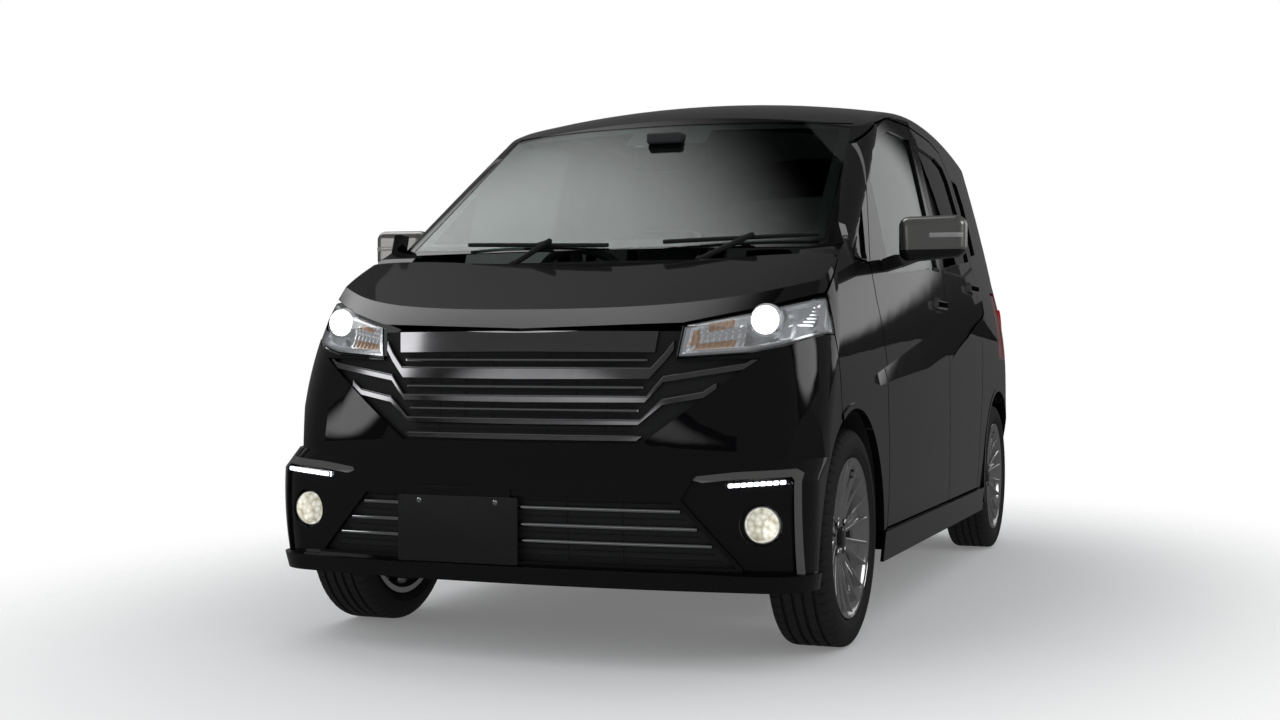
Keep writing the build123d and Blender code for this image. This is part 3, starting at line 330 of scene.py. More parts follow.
class MaterialLibrary:
    """Builds each finish's node tree once."""

    def __init__(self) -> None:
        """Start with no material made."""
        self._made: dict[str, bpy.types.Material] = {}

    def get(self, finish: Finish) -> bpy.types.Material:
        """Return the finish's material.

        Args:
            finish: what the surface looks like.

        Returns:
            The material, made at the first call.
        """
        if finish.name not in self._made:
            self._made[finish.name] = self._build(finish)
        return self._made[finish.name]

    def _build(self, finish: Finish) -> bpy.types.Material:
        """Make the node tree of a finish.

        Args:
            finish: what the surface looks like.

        Returns:
            The new material.
        """
        material = bpy.data.materials.new(finish.name)
        material.use_nodes = True
        tree = material.node_tree
        shader = tree.nodes["Principled BSDF"]
        place = shader_node(tree, "TexCoord").outputs["Object"]
        pattern = self._pattern(tree, finish, place)
        mix = shader_node(tree, "Mix", {
            "A": (*finish.colour, 1.0), "B": (*finish.dark, 1.0), "Factor": pattern,
        }, data_type="RGBA")
        colour = mix.outputs["Result"]
        feed(tree, shader, {
            "Metallic": finish.metallic, "Specular IOR Level": finish.specular, "IOR": finish.ior,
            "Coat Weight": finish.coat, "Coat Roughness": finish.coat_roughness,
            "Transmission Weight": finish.transmission, "Sheen Weight": finish.sheen, "Base Color": colour,
        })
        if finish.split_z > 0:
            self._two_tone(tree, finish, place, shader, colour)
        self._roughness(tree, finish, place, shader)
        if finish.bump > 0:
            bump = shader_node(tree, "Bump", {"Strength": 1.0, "Distance": finish.bump, "Height": pattern})
            feed(tree, shader, {"Normal": bump.outputs["Normal"]})
        # Emission is the light of the lit lamps; on the lamp housings and reflectors it is painted glow.
        if finish.glow > 0:
            feed(tree, shader, {"Emission Strength": finish.glow, "Emission Color": colour})
        return material

    @staticmethod
    def _two_tone(
        tree: bpy.types.NodeTree,
        finish: Finish,
        place: bpy.types.NodeSocket,
        shader: bpy.types.ShaderNode,
        upper: bpy.types.NodeSocket,
    ) -> None:
        """Turn the surface black below a height.

        Args:
            tree: the node tree to add to.
            finish: what the surface looks like.
            place: the socket with the position on the object.
            shader: the surface shader.
            upper: the socket with the upper colour.
        """
        height = shader_node(tree, "SeparateXYZ", {"Vector": place}).outputs["Z"]
        above = shader_node(tree, "Math", {0: height, 1: finish.split_z}, operation="GREATER_THAN")
        share = above.outputs["Value"]
        tone = shader_node(tree, "Mix", {
            "A": (*GLOSS_BLACK_TONE, 1.0), "Factor": share, "B": upper,
        }, data_type="RGBA")
        metal = shader_node(tree, "Math", {0: share, 1: finish.metallic}, operation="MULTIPLY")
        feed(tree, shader, {"Base Color": tone.outputs["Result"], "Metallic": metal.outputs["Value"]})

    @staticmethod
    def _pattern(
        tree: bpy.types.NodeTree, finish: Finish, place: bpy.types.NodeSocket
    ) -> bpy.types.NodeSocket:
        """Make the fine pattern of a finish.

        Args:
            tree: the node tree to add to.
            finish: what the surface looks like.
            place: the socket with the position on the object.

        Returns:
            The socket with the pattern, from 0 to 1.
        """
        if finish.grain in (Grain.FLAKE, Grain.PEBBLE, Grain.CAST):
            cells = shader_node(tree, "TexVoronoi", {"Scale": finish.scale, "Vector": place})
            if finish.grain is Grain.FLAKE:
                return shader_node(tree, "SeparateColor", {"Color": cells.outputs["Color"]}).outputs["Red"]
            return cells.outputs["Distance"]
        if finish.grain is Grain.WEAVE:
            wave = {"Scale": finish.scale / 3.0, "Vector": place}
            weft, warp = (
                shader_node(tree, "TexWave", wave, bands_direction=way) for way in ("X", "Z")
            )
            both = {0: weft.outputs["Fac"], 1: warp.outputs["Fac"]}
            return shader_node(tree, "Math", both, operation="MULTIPLY").outputs["Value"]
        if finish.grain is Grain.BRUSHED:
            stretch = {"Scale": BRUSH_STRETCH, "Vector": place}
            place = shader_node(tree, "Mapping", stretch).outputs["Vector"]
        noise = {"Scale": finish.scale, "Detail": 4.0, "Vector": place}
        return shader_node(tree, "TexNoise", noise).outputs["Fac"]

    @staticmethod
    def _roughness(
        tree: bpy.types.NodeTree,
        finish: Finish,
        place: bpy.types.NodeSocket,
        shader: bpy.types.ShaderNode,
    ) -> None:
        """Let the roughness wander slowly over the surface.

        Args:
            tree: the node tree to add to.
            finish: what the surface looks like.
            place: the socket with the position on the object.
            shader: the surface shader.
        """
        slow = shader_node(tree, "TexNoise", {"Scale": SLOW_SCALE, "Detail": 2.0, "Vector": place})
        low, high = max(0.0, finish.roughness - finish.spread), finish.roughness + finish.spread
        span = shader_node(tree, "MapRange", {"To Min": low, "To Max": high, "Value": slow.outputs["Fac"]})
        feed(tree, shader, {"Roughness": span.outputs["Result"]})


def finish_of(node: str) -> Finish:
    """Return the finish of a CAD node.

    Args:
        node: the node's name.

    Returns:
        Its finish.
    """
    if node in NODE_FINISH:
        return NODE_FINISH[node]
    return next(finish for start, finish in FAMILY_FINISH if node.startswith(start))


@dataclass
class FrameDressing:
    """Gives the CAD nodes that stay in view their materials.

    Attributes:
        nodes: CAD node name to its object.
        materials: the library of finishes.
    """

    nodes: dict[str, bpy.types.Object]
    materials: MaterialLibrary

    def build(self) -> None:
        """Put each node's material on its mesh."""
        for name, node in self.nodes.items():
            node.data.materials.clear()
            node.data.materials.append(self.materials.get(finish_of(name)))


class Skin:
    """Finds points on the surfaces of CAD nodes.

    Attributes:
        tree: the search tree over the nodes' faces.
    """

    def __init__(self, nodes: dict[str, bpy.types.Object], names: Sequence[str]) -> None:
        """Gather the faces of the nodes.

        Args:
            nodes: CAD node name to its object.
            names: the nodes whose surfaces are wanted.
        """
        points: list[Vector] = []
        faces: list[tuple[int, ...]] = []
        for name in names:
            mesh, world = nodes[name].data, nodes[name].matrix_world
            start = len(points)
            points += [world @ vertex.co for vertex in mesh.vertices]
            faces += [tuple(start + index for index in face.vertices) for face in mesh.polygons]
        self.tree = BVHTree.FromPolygons(points, faces)

    def from_front(self, x: float, z: float) -> Vector | None:
        """Return the first point met when looking towards +Y."""
        return self.tree.ray_cast(Vector((x, -LOOK_FROM, z)), Vector((0.0, 1.0, 0.0)))[0]

    def from_rear(self, x: float, z: float, start: float = LOOK_FROM) -> Vector | None:
        """Return the first point met when looking towards -Y."""
        return self.tree.ray_cast(Vector((x, start, z)), Vector((0.0, -1.0, 0.0)))[0]

    def from_side(self, y: float, z: float) -> Vector | None:
        """Return the first point met when looking inwards from the left side."""
        return self.tree.ray_cast(Vector((LOOK_FROM, y, z)), Vector((-1.0, 0.0, 0.0)))[0]


class Mould:
    """Builds one piece's mesh with bmesh operators."""

    def __init__(self) -> None:
        """Start with an empty mesh."""
        self.bm = bmesh.new()

    def loop(
        self, points: Iterable[Vector], closed: bool = True
    ) -> tuple[list[bmesh.types.BMVert], list[bmesh.types.BMEdge]]:
        """Add one line of edges through points.

        Args:
            points: the places.
            closed: whether the line runs round to its start.

        Returns:
            The new vertices and the edges between them.
        """
        verts = [self.bm.verts.new(point) for point in points]
        pairs = list(zip(verts, verts[1:])) + ([(verts[-1], verts[0])] if closed else [])
        return verts, [self.bm.edges.new(pair) for pair in pairs]

    def tint(self, old: set[bmesh.types.BMFace], number: int) -> None:
        """Give every face that isn't old a material number.

        Args:
            old: the faces to leave.
            number: the material number.
        """
        if number:
            for face in self.bm.faces:
                if face not in old:
                    face.material_index = number

    def skin(self, rings: Sequence[Sequence[Vector]], caps: bool = True, tint: int = 0) -> None:
        """Extrude a ring of points from place to place.

        Args:
            rings: the rings, each with as many points.
            caps: whether the first and last rings are filled.
            tint: material number of the faces.
        """
        old = set(self.bm.faces) if tint else set()
        verts, edges = self.loop(rings[0])
        ends = [edges]
        for ring in rings[1:]:
            grown = bmesh.ops.extrude_edge_only(self.bm, edges=edges)["geom"]
            fresh = {item for item in grown if isinstance(item, bmesh.types.BMVert)}
            verts = [
                next(edge.other_vert(start) for edge in start.link_edges if edge.other_vert(start) in fresh)
                for start in verts
            ]
            for vert, point in zip(verts, ring):
                vert.co = point
            edges = [self.bm.edges.get(pair) for pair in zip(verts, verts[1:] + verts[:1])]
        ends.append(edges)
        if caps:
            for edges in ends:
                bmesh.ops.contextual_create(self.bm, geom=edges)
        self.tint(old, tint)

    def turn(
        self,
        profile: Sequence[tuple[float, float]],
        centre: Point,
        around: int = 96,
        closed: bool = True,
        tint: int = 0,
        axis: str = "X",
    ) -> None:
        """Spin a profile about an axis.

        Args:
            profile: pairs of place along the axis, from the centre, and radius.
            centre: a point on the axis.
            around: faces round the axis.
            closed: whether the profile runs round to its start.
            tint: material number of the faces.
            axis: the axis, X or Y.
        """
        old = set(self.bm.faces)
        base = Vector(centre)
        way = (1.0, 0.0, 0.0) if axis == "X" else (0.0, 1.0, 0.0)
        points = [
            base + (Vector((along, 0.0, radius)) if axis == "X" else Vector((0.0, along, radius)))
            for along, radius in profile
        ]
        verts, edges = self.loop(points, closed)
        bmesh.ops.spin(
            self.bm, geom=verts + edges, cent=base, axis=way, dvec=(0.0, 0.0, 0.0), angle=math.tau,
            steps=around, use_merge=True, use_duplicate=False,
        )
        if not closed:
            fresh = (edge for edge in self.bm.edges if not any(face in old for face in edge.link_faces))
            rims = [edge for edge in fresh if edge.is_boundary]
            bmesh.ops.holes_fill(self.bm, edges=rims, sides=0)
        self.tint(old, tint)

    def bar(
        self, path: Sequence[Vector], half_wide: float, half_high: float, tint: int = 0, sides: int = 8
    ) -> None:
        """Sweep an oval section along a path.

        Args:
            path: the points of the centre line.
            half_wide: half of the width across the path, level.
            half_high: half of the height.
            tint: material number of the faces.
            sides: faces round the section.
        """
        rings = []
        last = len(path) - 1
        for i, point in enumerate(path):
            way = (path[min(i + 1, last)] - path[max(i - 1, 0)]).normalized()
            level = way.cross(Vector((0.0, 0.0, 1.0)))
            level = level.normalized() if level.length > 1e-4 else Vector((1.0, 0.0, 0.0))
            up = level.cross(way).normalized()
            ring = []
            for k in range(sides):
                angle = math.tau * (k + 0.5) / sides
                ring.append(point + level * half_wide * math.cos(angle) + up * half_high * math.sin(angle))
            rings.append(ring)
        self.skin(rings, tint=tint)

    def slab(self, outline: Sequence[Vector], depth: Vector, tint: int = 0) -> None:
        """Push an outline along a direction."""
        self.skin([list(outline), [point + depth for point in outline]], tint=tint)

    def grid(
        self,
        place: Callable[[float, float], Vector | None],
        us: Sequence[float],
        vs: Sequence[float],
        tint: Callable[[float, float], int | None] = lambda u, v: 0,
    ) -> None:
        """Lay a grid of faces over a surface.

        Args:
            place: gives the point at two parameters, or None where there is none.
            us: values of the first parameter.
            vs: values of the second parameter.
            tint: gives each cell's material number, or None for no face.
        """
        known = set(self.bm.faces)
        made = bmesh.ops.create_grid(
            self.bm, x_segments=len(us) - 1, y_segments=len(vs) - 1, size=1.0
        )["verts"]
        spots: dict[bmesh.types.BMVert, tuple[float, float]] = {}
        lost: set[bmesh.types.BMVert] = set()
        for vert in made:
            u = us[round((vert.co.x + 1) / 2 * (len(us) - 1))]
            v = vs[round((vert.co.y + 1) / 2 * (len(vs) - 1))]
            spots[vert] = (u, v)
            point = place(u, v)
            if point is None:
                lost.add(vert)
            else:
                vert.co = point
        unwanted = []
        for face in self.bm.faces:
            if face in known:
                continue
            count = len(face.verts)
            number = tint(*(sum(spots[v][axis] for v in face.verts) / count for axis in (0, 1)))
            if number is None or any(v in lost for v in face.verts):
                unwanted.append(face)
            else:
                face.material_index = number
        bmesh.ops.delete(self.bm, geom=unwanted, context="FACES")
        bmesh.ops.delete(self.bm, geom=[v for v in lost if v.is_valid], context="VERTS")

    def block(self, centre: Point, size: Point, radius: float) -> None:
        """Add a rounded block.

        Args:
            centre: its middle.
            size: its width, depth and height.
            radius: of its edges.
        """
        made = bmesh.ops.create_cube(self.bm, size=1.0)["verts"]
        bmesh.ops.scale(self.bm, vec=size, verts=made)
        bmesh.ops.translate(self.bm, vec=centre, verts=made)
        edges = {edge for vert in made for edge in vert.link_edges}
        bmesh.ops.bevel(
            self.bm, geom=list(edges), offset=radius, segments=3, profile=0.5, affect="EDGES", material=-1,
            clamp_overlap=True,
        )

    def mesh(self, name: str, flip_x: bool = False, sharp: float = 35.0) -> bpy.types.Mesh:
        """Finish the mesh.

        Args:
            name: the mesh's name.
            flip_x: whether to mirror it to the other side of the car.
            sharp: the angle in degrees past which an edge stays sharp.

        Returns:
            The mesh, with smooth faces between its sharp edges.
        """
        if flip_x:
            bmesh.ops.scale(self.bm, vec=(-1.0, 1.0, 1.0), verts=self.bm.verts)
        bmesh.ops.recalc_face_normals(self.bm, faces=self.bm.faces)
        limit = math.radians(sharp)
        for face in self.bm.faces:
            face.smooth = True
        for edge in self.bm.edges:
            edge.smooth = len(edge.link_faces) == 2 and edge.calc_face_angle(0.0) < limit
        mesh = bpy.data.meshes.new(name)
        self.bm.to_mesh(mesh)
        self.bm.free()
        return mesh


@dataclass
class Workshop:
    """What every assembly needs to add its pieces.

    Attributes:
        nodes: CAD node name to its object.
        materials: the library of finishes.
    """

    nodes: dict[str, bpy.types.Object]
    materials: MaterialLibrary

    def add(
        self,
        name: str,
        mesh: bpy.types.Mesh,
        body: str,
        finishes: Sequence[Finish],
        stands_for: Sequence[str] = (),
    ) -> bpy.types.Object:
        """Add a piece that rides on a body.

        Args:
            name: the piece's name.
            mesh: its mesh, in the row frame.
            body: the CAD body that it rides on.
            finishes: the finishes, in the order of the faces' material numbers.
            stands_for: the CAD nodes that it replaces.

        Returns:
            The piece.
        """
        piece = bpy.data.objects.new(name, mesh)
        bpy.context.scene.collection.objects.link(piece)
        for finish in finishes:
            mesh.materials.append(self.materials.get(finish))
        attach(piece, body)
        if stands_for:
            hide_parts(*stands_for)
        LOG.info("added %s on %s", name, body)
        return piece


def spaced(points: Sequence[tuple[float, float]], step: float) -> list[tuple[float, float]]:
    """Divide a polyline into short runs.

    Args:
        points: the corners.
        step: the longest run wanted.

    Returns:
        The corners and the points between them.
    """
    dense = [points[0]]
    for (a, b), (c, d) in zip(points, points[1:]):
        count = max(1, math.ceil(math.hypot(c - a, d - b) / step))
        dense += [(a + (c - a) * i / count, b + (d - b) * i / count) for i in range(1, count + 1)]
    return dense


def rounded(half_x: float, half_z: float, radius: float, parts: int = 6) -> list[tuple[float, float]]:
    """Return a rectangle with round corners.

    Args:
        half_x: half of its width.
        half_z: half of its height.
        radius: the corner radius.
        parts: runs in each corner.

    Returns:
        The outline round its middle.
    """
    outline = []
    for quarter, (sx, sz) in enumerate(((1, 1), (-1, 1), (-1, -1), (1, -1))):
        x, z = sx * (half_x - radius), sz * (half_z - radius)
        for i in range(parts + 1):
            angle = math.pi / 2 * (quarter + i / parts)
            outline.append((x + radius * math.cos(angle), z + radius * math.sin(angle)))
    return outline


def met(points: Iterable[Vector | None], shift: Vector) -> list[Vector]:
    """Return the points that were met, each shifted."""
    return [point + shift for point in points if point is not None]


def steps(low: float, high: float, count: int) -> list[float]:
    """Return evenly spaced values."""
    return [low + (high - low) * i / count for i in range(count + 1)]


def circle(count: int) -> list[float]:
    """Return evenly spaced angles of a full turn."""
    return [math.tau * k / count for k in range(count)]


@dataclass
class Assembly:
    """A group of pieces that one class builds.

    Attributes:
        shop: where pieces are added.
    """

    shop: Workshop

    def skin(self, *names: str) -> Skin:
        """Return the surface of CAD nodes."""
        return Skin(self.shop.nodes, names)

    def single(
        self,
        name: str,
        mould: Mould,
        finishes: Sequence[Finish],
        body: str = "body",
        sharp: float = 35.0,
        stands_for: Sequence[str] = (),
    ) -> None:
        """Add one piece."""
        self.shop.add(name, mould.mesh(name, sharp=sharp), body, finishes, stands_for)

    def pair(
        self,
        name: str,
        shape: Callable[[Mould], None],
        finishes: Sequence[Finish],
        body: str = "body",
        sharp: float = 35.0,
    ) -> None:
        """Add a left piece and its mirror image on the right.

        Args:
            name: the piece's name, without its side.
            shape: adds the left piece's geometry to a mould.
            finishes: the finishes.
            body: the body, with {side} where the side's name goes.
            sharp: the angle past which an edge stays sharp.
        """
        for side, turn in SIDES:
            mould = Mould()
            shape(mould)
            mesh = mould.mesh(f"{name}_{side}", flip_x=turn < 0, sharp=sharp)
            self.shop.add(f"{name}_{side}", mesh, body.format(side=side), finishes)


@dataclass
class Headlamps(Assembly):
    """What shows through the headlamp lenses.

    Attributes:
        lens: the lenses' surface.
    """

    lens: Skin = field(init=False)

    OUTLINE = (
        (0.400, 0.745), (0.411, 0.822), (0.560, 0.858), (0.706, 0.905), (0.712, 0.806), (0.640, 0.776),
        (0.560, 0.756),
    )
    MIDDLE = (0.555, 0.812)
    PROJECTOR = (0.590, 0.838)
    RING_Y = -1.4900
    RINGS = ((0.0352, 0.0372, -0.016), (0.0374, 0.0392, -0.010), (0.0394, 0.0410, -0.004))
    DOME_Y = -1.5005
    DOME_R = 0.0345
    DOME_RISE = 0.0125
    BEZEL = ((0.13, 0.030), (0.15, 0.0125), (0.27, 0.0125), (0.31, 0.028))
    WRAP_X = 0.62
    WRAP_DEPTH = 0.012
    FLUTES = 9
    STEPS = 3
    FLUTE_DEPTH = 0.0028
    STEP_DEPTH = 0.0022

    def build(self) -> None:
        """Add the bezel, the reflectors and the lit projector."""
        self.lens = self.skin("headlamp_lenses")
        # The bezel, the reflectors and the projector rings glow faintly: painted glow, as they are no
        # lamps.
        self.pair("lamp_bezel", self._bezel, (PAINTED_GLOW_REFLECTOR,))
        self.pair("turn_reflector", self._reflector, (PAINTED_GLOW_REFLECTOR, AMBER_PAINTED_GLOW), sharp=20.0)
        self.pair("projector_ring", self._rings, (PAINTED_GLOW_REFLECTOR,))
        self.pair("projector_lens", self._projector, (LAMP_LIGHT,))
        self.pair("corner_reflector", self._corner, (PAINTED_GLOW_REFLECTOR,))

    def _behind(self, x: float, z: float, depth: float) -> Vector | None:
        """Return a point behind the lens."""
        hit = self.lens.from_front(x, z)
        return None if hit is None else hit + Vector((0.0, depth, 0.0))

    def _inset(self, share: float) -> list[tuple[float, float]]:
        """Return the lamp's outline drawn in towards its middle.

        Args:
            share: how far, from 0 to 1.

        Returns:
            The dense outline.
        """
        mx, mz = self.MIDDLE
        closed = list(self.OUTLINE) + [self.OUTLINE[0]]
        drawn = [(x + (mx - x) * share * 0.45, z + (mz - z) * share) for x, z in closed]
        return spaced(drawn, 0.012)[:-1]

    def _bezel(self, mould: Mould) -> None:
        """Add the bright frame just behind the lens's edge; its finish carries painted glow.

        Args:
            mould: the mesh to add to.
        """
        rings = []
        for share, depth in self.BEZEL:
            ring = []
            for x, z in self._inset(share):
                extra = self.WRAP_DEPTH if x > self.WRAP_X else 0.0
                ring.append(self._behind(x, z, depth + extra))
            rings.append(ring)
        if all(point is not None for ring in rings for point in ring):
            mould.skin(rings, caps=False)

    def _reflector(self, mould: Mould) -> None:
        """Add the fluted reflector of the turn signal.

        Args:
            mould: the mesh to add to.
        """
        def place(u: float, v: float) -> Vector | None:
            """Return a point of the fluted field.

            Args:
                u: share of the way outwards.
                v: share of the way up.

            Returns:
                The point, or None outside the lens.
            """
            x = 0.420 + 0.125 * u
            low = 0.757 + 0.010 * u
            high = 0.822 + 0.030 * u
            z = low + (high - low) * v
            flute = self.FLUTE_DEPTH * abs(math.sin(math.pi * self.FLUTES * u))
            flute += self.STEP_DEPTH * abs(math.sin(math.pi * self.STEPS * v))
            bowl = 0.020 * (1 - (2 * v - 1) ** 2) + 0.014 * u
            return self._behind(x, z, 0.016 + bowl + flute)

        def tint(u: float, v: float) -> int:
            """Return the material number of a cell.

            Args:
                u: share of the way outwards.
                v: share of the way up.

            Returns:
                1 inside the amber fields, else 0.
            """
            upper = 0.34 < u < 0.78 and 0.66 < v < 0.90
            lower = 0.10 < u < 0.84 and 0.10 < v < 0.30
            inner = u < 0.16 and 0.25 < v < 0.8
            return 1 if upper or lower or inner else 0

        mould.grid(place, steps(0.0, 1.0, 72), steps(0.0, 1.0, 30), tint)

    def _rings(self, mould: Mould) -> None:
        """Add the stepped rings round the projector.

        Args:
            mould: the mesh to add to.
        """
        x, z = self.PROJECTOR
        back = 0.012
        for inner, outer, front in self.RINGS:
            crown = (front - 0.0008, (inner + outer) / 2)
            profile = ((front, inner), crown, (front, outer), (back, outer), (back, inner))
            mould.turn(profile, (x, self.RING_Y, z), around=64, axis="Y")

    def _projector(self, mould: Mould) -> None:
        """Add the lit projector lens.

        Args:
            mould: the mesh to add to.
        """
        x, z = self.PROJECTOR
        turns = steps(0.06, math.pi / 2, 10)
        dome = [(-self.DOME_RISE * math.cos(a), self.DOME_R * math.sin(a)) for a in turns]
        mould.turn(
            [(0.010, self.DOME_R)] + dome[::-1], (x, self.DOME_Y, z), around=64, closed=False, axis="Y"
        )

    def _corner(self, mould: Mould) -> None:
        """Add the upright reflector in the lamp's outer corner.

        Args:
            mould: the mesh to add to.
        """
        def place(u: float, v: float) -> Vector | None:
            """Return a point of the stepped field.

            Args:
                u: share of the way outwards.
                v: share of the way up.

            Returns:
                The point, or None outside the lens.
            """
            x = 0.655 + 0.028 * u + 0.010 * v
            z = 0.818 + 0.052 * v
            return self._behind(x, z, 0.018 + 0.0015 * abs(math.sin(math.pi * 6 * v)))

        mould.grid(place, steps(0.0, 1.0, 10), steps(0.0, 1.0, 24))


@dataclass
class FrontLights(Assembly):
    """Fog lamps and running lights, lit.

    Attributes:
        lamps: the lamps' surface.
    """

    lamps: Skin = field(init=False)

    FOG = (0.616, 0.351)
    FOG_Y = -1.6120
    FOG_R = 0.0405
    FOG_RISE = 0.0060
    FOG_RING = ((0.004, 0.0408), (-0.0030, 0.0408), (-0.0042, 0.0422), (-0.0030, 0.0436), (0.004, 0.0436))
    LEDS = 9
    STRIP = ((0.541, 0.4435), (0.676, 0.4545))

    def build(self) -> None:
        """Add the lit lenses and the light emitting diodes."""
        self.lamps = self.skin("fog_lamps")
        self.pair("fog_lens", self._fog, (FOG_LIGHT, PAINTED_GLOW_REFLECTOR))
        self.pair("running_leds", self._leds, (LED_LIGHT,))

    def _fog(self, mould: Mould) -> None:
        """Add the fog lamp's domed glass with its ring.

        Args:
            mould: the mesh to add to.
        """
        x, z = self.FOG
        centre = (x, self.FOG_Y, z)
        turns = steps(0.05, math.pi / 2, 12)
        dome = [(-self.FOG_RISE * math.cos(a) - 0.0004, self.FOG_R * math.sin(a)) for a in turns]
        mould.turn([(0.004, self.FOG_R)] + dome[::-1], centre, around=64, closed=False, axis="Y")
        # The ring round the fog lens carries painted glow.
        mould.turn(self.FOG_RING, centre, around=64, tint=1, axis="Y")

    def _leds(self, mould: Mould) -> None:
        """Add the row of small lights in their strip.

        Args:
            mould: the mesh to add to.
        """
        (x0, z0), (x1, z1) = self.STRIP
        slope = (z1 - z0) / (x1 - x0)
        for i in range(self.LEDS):
            share = (i + 0.5) / self.LEDS
            x, z = x0 + (x1 - x0) * share, z0 + (z1 - z0) * share
            hit = self.lamps.from_front(x, z)
            if hit is None:
                continue
            half = (x1 - x0) / self.LEDS * 0.46
            outline = rounded(half, 0.0050, 0.0030, 4)
            small = rounded(half * 0.7, 0.0034, 0.0020, 4)
            mould.skin([
                [Vector((x + a, hit.y - out, z + b + a * slope)) for a, b in points]
                for points, out in ((outline, -0.0015), (outline, 0.0006), (small, 0.0018))
            ])


@dataclass
class Grille(Assembly):
    """Bright edges and louvres of the upper grille, and the round bars of the lower one."""

    EDGES = (
        ((0.0, 0.722), (0.339, 0.722), (0.372, 0.759), (0.390, 0.785)),
        ((0.0, 0.653), (0.331, 0.653), (0.370, 0.702), (0.563, 0.734), (0.588, 0.752)),
        ((0.0, 0.596), (0.316, 0.596), (0.370, 0.647), (0.467, 0.665), (0.494, 0.684)),
        ((0.0, 0.558), (0.312, 0.558)),
    )
    THIN = ((0.7395, 0.326), (0.6735, 0.318), (0.6175, 0.308))
    LOWER = ((0.380, 0.430), (0.338, 0.470), (0.298, 0.505))
    LOUVRES = (
        (0.7300, 0.300), (0.7500, 0.320), (0.6640, 0.300), (0.6840, 0.320), (0.6060, 0.290),
        (0.6275, 0.300), (0.5780, 0.290), (0.5680, 0.290), (0.3960, 0.405), (0.3590, 0.435),
        (0.3180, 0.470), (0.2780, 0.505), (0.2620, 0.520),
    )
    POSTS = (
        (0.075, 0.560, 0.800), (0.150, 0.560, 0.800), (0.225, 0.560, 0.800), (0.0, 0.252, 0.404),
        (0.140, 0.252, 0.404), (0.280, 0.252, 0.404),
    )
    EDGE_DROP = 0.0022
    POST_SECTION = ((-0.0012, -0.0012), (0.0012, -0.0012), (0.0012, 0.001), (-0.0012, 0.001))

    def build(self) -> None:
        """Add edges, louvres and bars."""
        bars = self.skin("upper_grille")
        backs = self.skin("grille_backs")
        lower = self.skin("lower_grille")
        bright = Mould()
        for edge in self.EDGES:
            whole = [(-x, z) for x, z in reversed(edge)] + list(edge[1:])
            places = [(x, z - self.EDGE_DROP) for x, z in spaced(whole, 0.012)]
            bright.bar(self._on(bars, places, 0.0006), 0.0018, 0.0017)
        for z, half in self.THIN:
            bright.bar(self._on(bars, [(x, z) for x in steps(-half, half, 56)], 0.0008), 0.0022, 0.0026)
        self.single("grille_edges", bright, (CHROME,))
        fins = Mould()
        for z, half in self.LOUVRES:
            places = [(x, z) for x in steps(-half, half, 40)]
            fins.bar(self._on(backs, places, -0.0030), 0.0032, 0.0012, sides=6)
        for x, low, high in self.POSTS:
            for place in sorted({x, -x}):
                line = self._on(backs, [(place, z) for z in steps(low, high, 12)], -0.0012)
                fins.skin([[point + Vector((a, b, 0.0)) for a, b in self.POST_SECTION] for point in line])
        self.single("grille_louvres", fins, (TRIM,))
        rods = Mould()
        for z, half in self.LOWER:
            places = [(x, z) for x in steps(-half + 0.004, half - 0.004, 64)]
            rods.bar(self._on(lower, places, 0.0052), 0.0060, 0.0058, sides=14)
        self.single("lower_bars", rods, (CHROME,), stands_for=("lower_grille",))

    @staticmethod
    def _on(skin: Skin, places: Iterable[tuple[float, float]], depth: float) -> list[Vector]:
        """Return the points near a surface seen from the front."""
        return met((skin.from_front(x, z) for x, z in places), Vector((0.0, depth, 0.0)))


@dataclass
class Mirrors(Assembly):
    """Mirror glass and turn signals of the door mirrors.

    Attributes:
        left: the left housing's surface.
    """

    left: Skin = field(init=False)

    SIGNAL_X = (0.842, 0.932)
    SIGNAL_Z = 1.092
    GLASS_MIDDLE = Vector((0.846, -0.6575, 1.088))

    def build(self) -> None:
        """Add both mirrors' fittings."""
        self.left = self.skin("mirror_left")
        door = "front_door_{side}"
        self.pair("mirror_signal", self._signal, (CLEAR_PLASTIC,), body=door)
        self.pair("mirror_glass", self._glass, (MIRROR_GLASS, TRIM), body=door)

    def _signal(self, mould: Mould) -> None:
        """Add the clear strip on the housing's front."""
        front = (self.left.from_front(x, self.SIGNAL_Z) for x in steps(*self.SIGNAL_X, 24))
        mould.bar(met(front, Vector((0.0, 0.0010, 0.0))), 0.0022, 0.0075, sides=12)

    def _glass(self, mould: Mould) -> None:
        """Add the mirror glass and the rim round it.

        Args:
            mould: the mesh to add to.
        """
        outline = rounded(0.0745, 0.0455, 0.022)
        inner = rounded(0.0700, 0.0410, 0.019)
        rim = ((outline, -0.004), (outline, 0.0005), (inner, 0.0012), (inner, -0.0005))
        rings = [[self.GLASS_MIDDLE + Vector((x, y, z)) for x, z in points] for points, y in rim]
        mould.skin(rings, caps=False, tint=1)
        glass = [self.GLASS_MIDDLE + Vector((x, -0.0004, z)) for x, z in rounded(0.0701, 0.0411, 0.019)]
        mould.slab(glass, Vector((0.0, -0.0025, 0.0)))


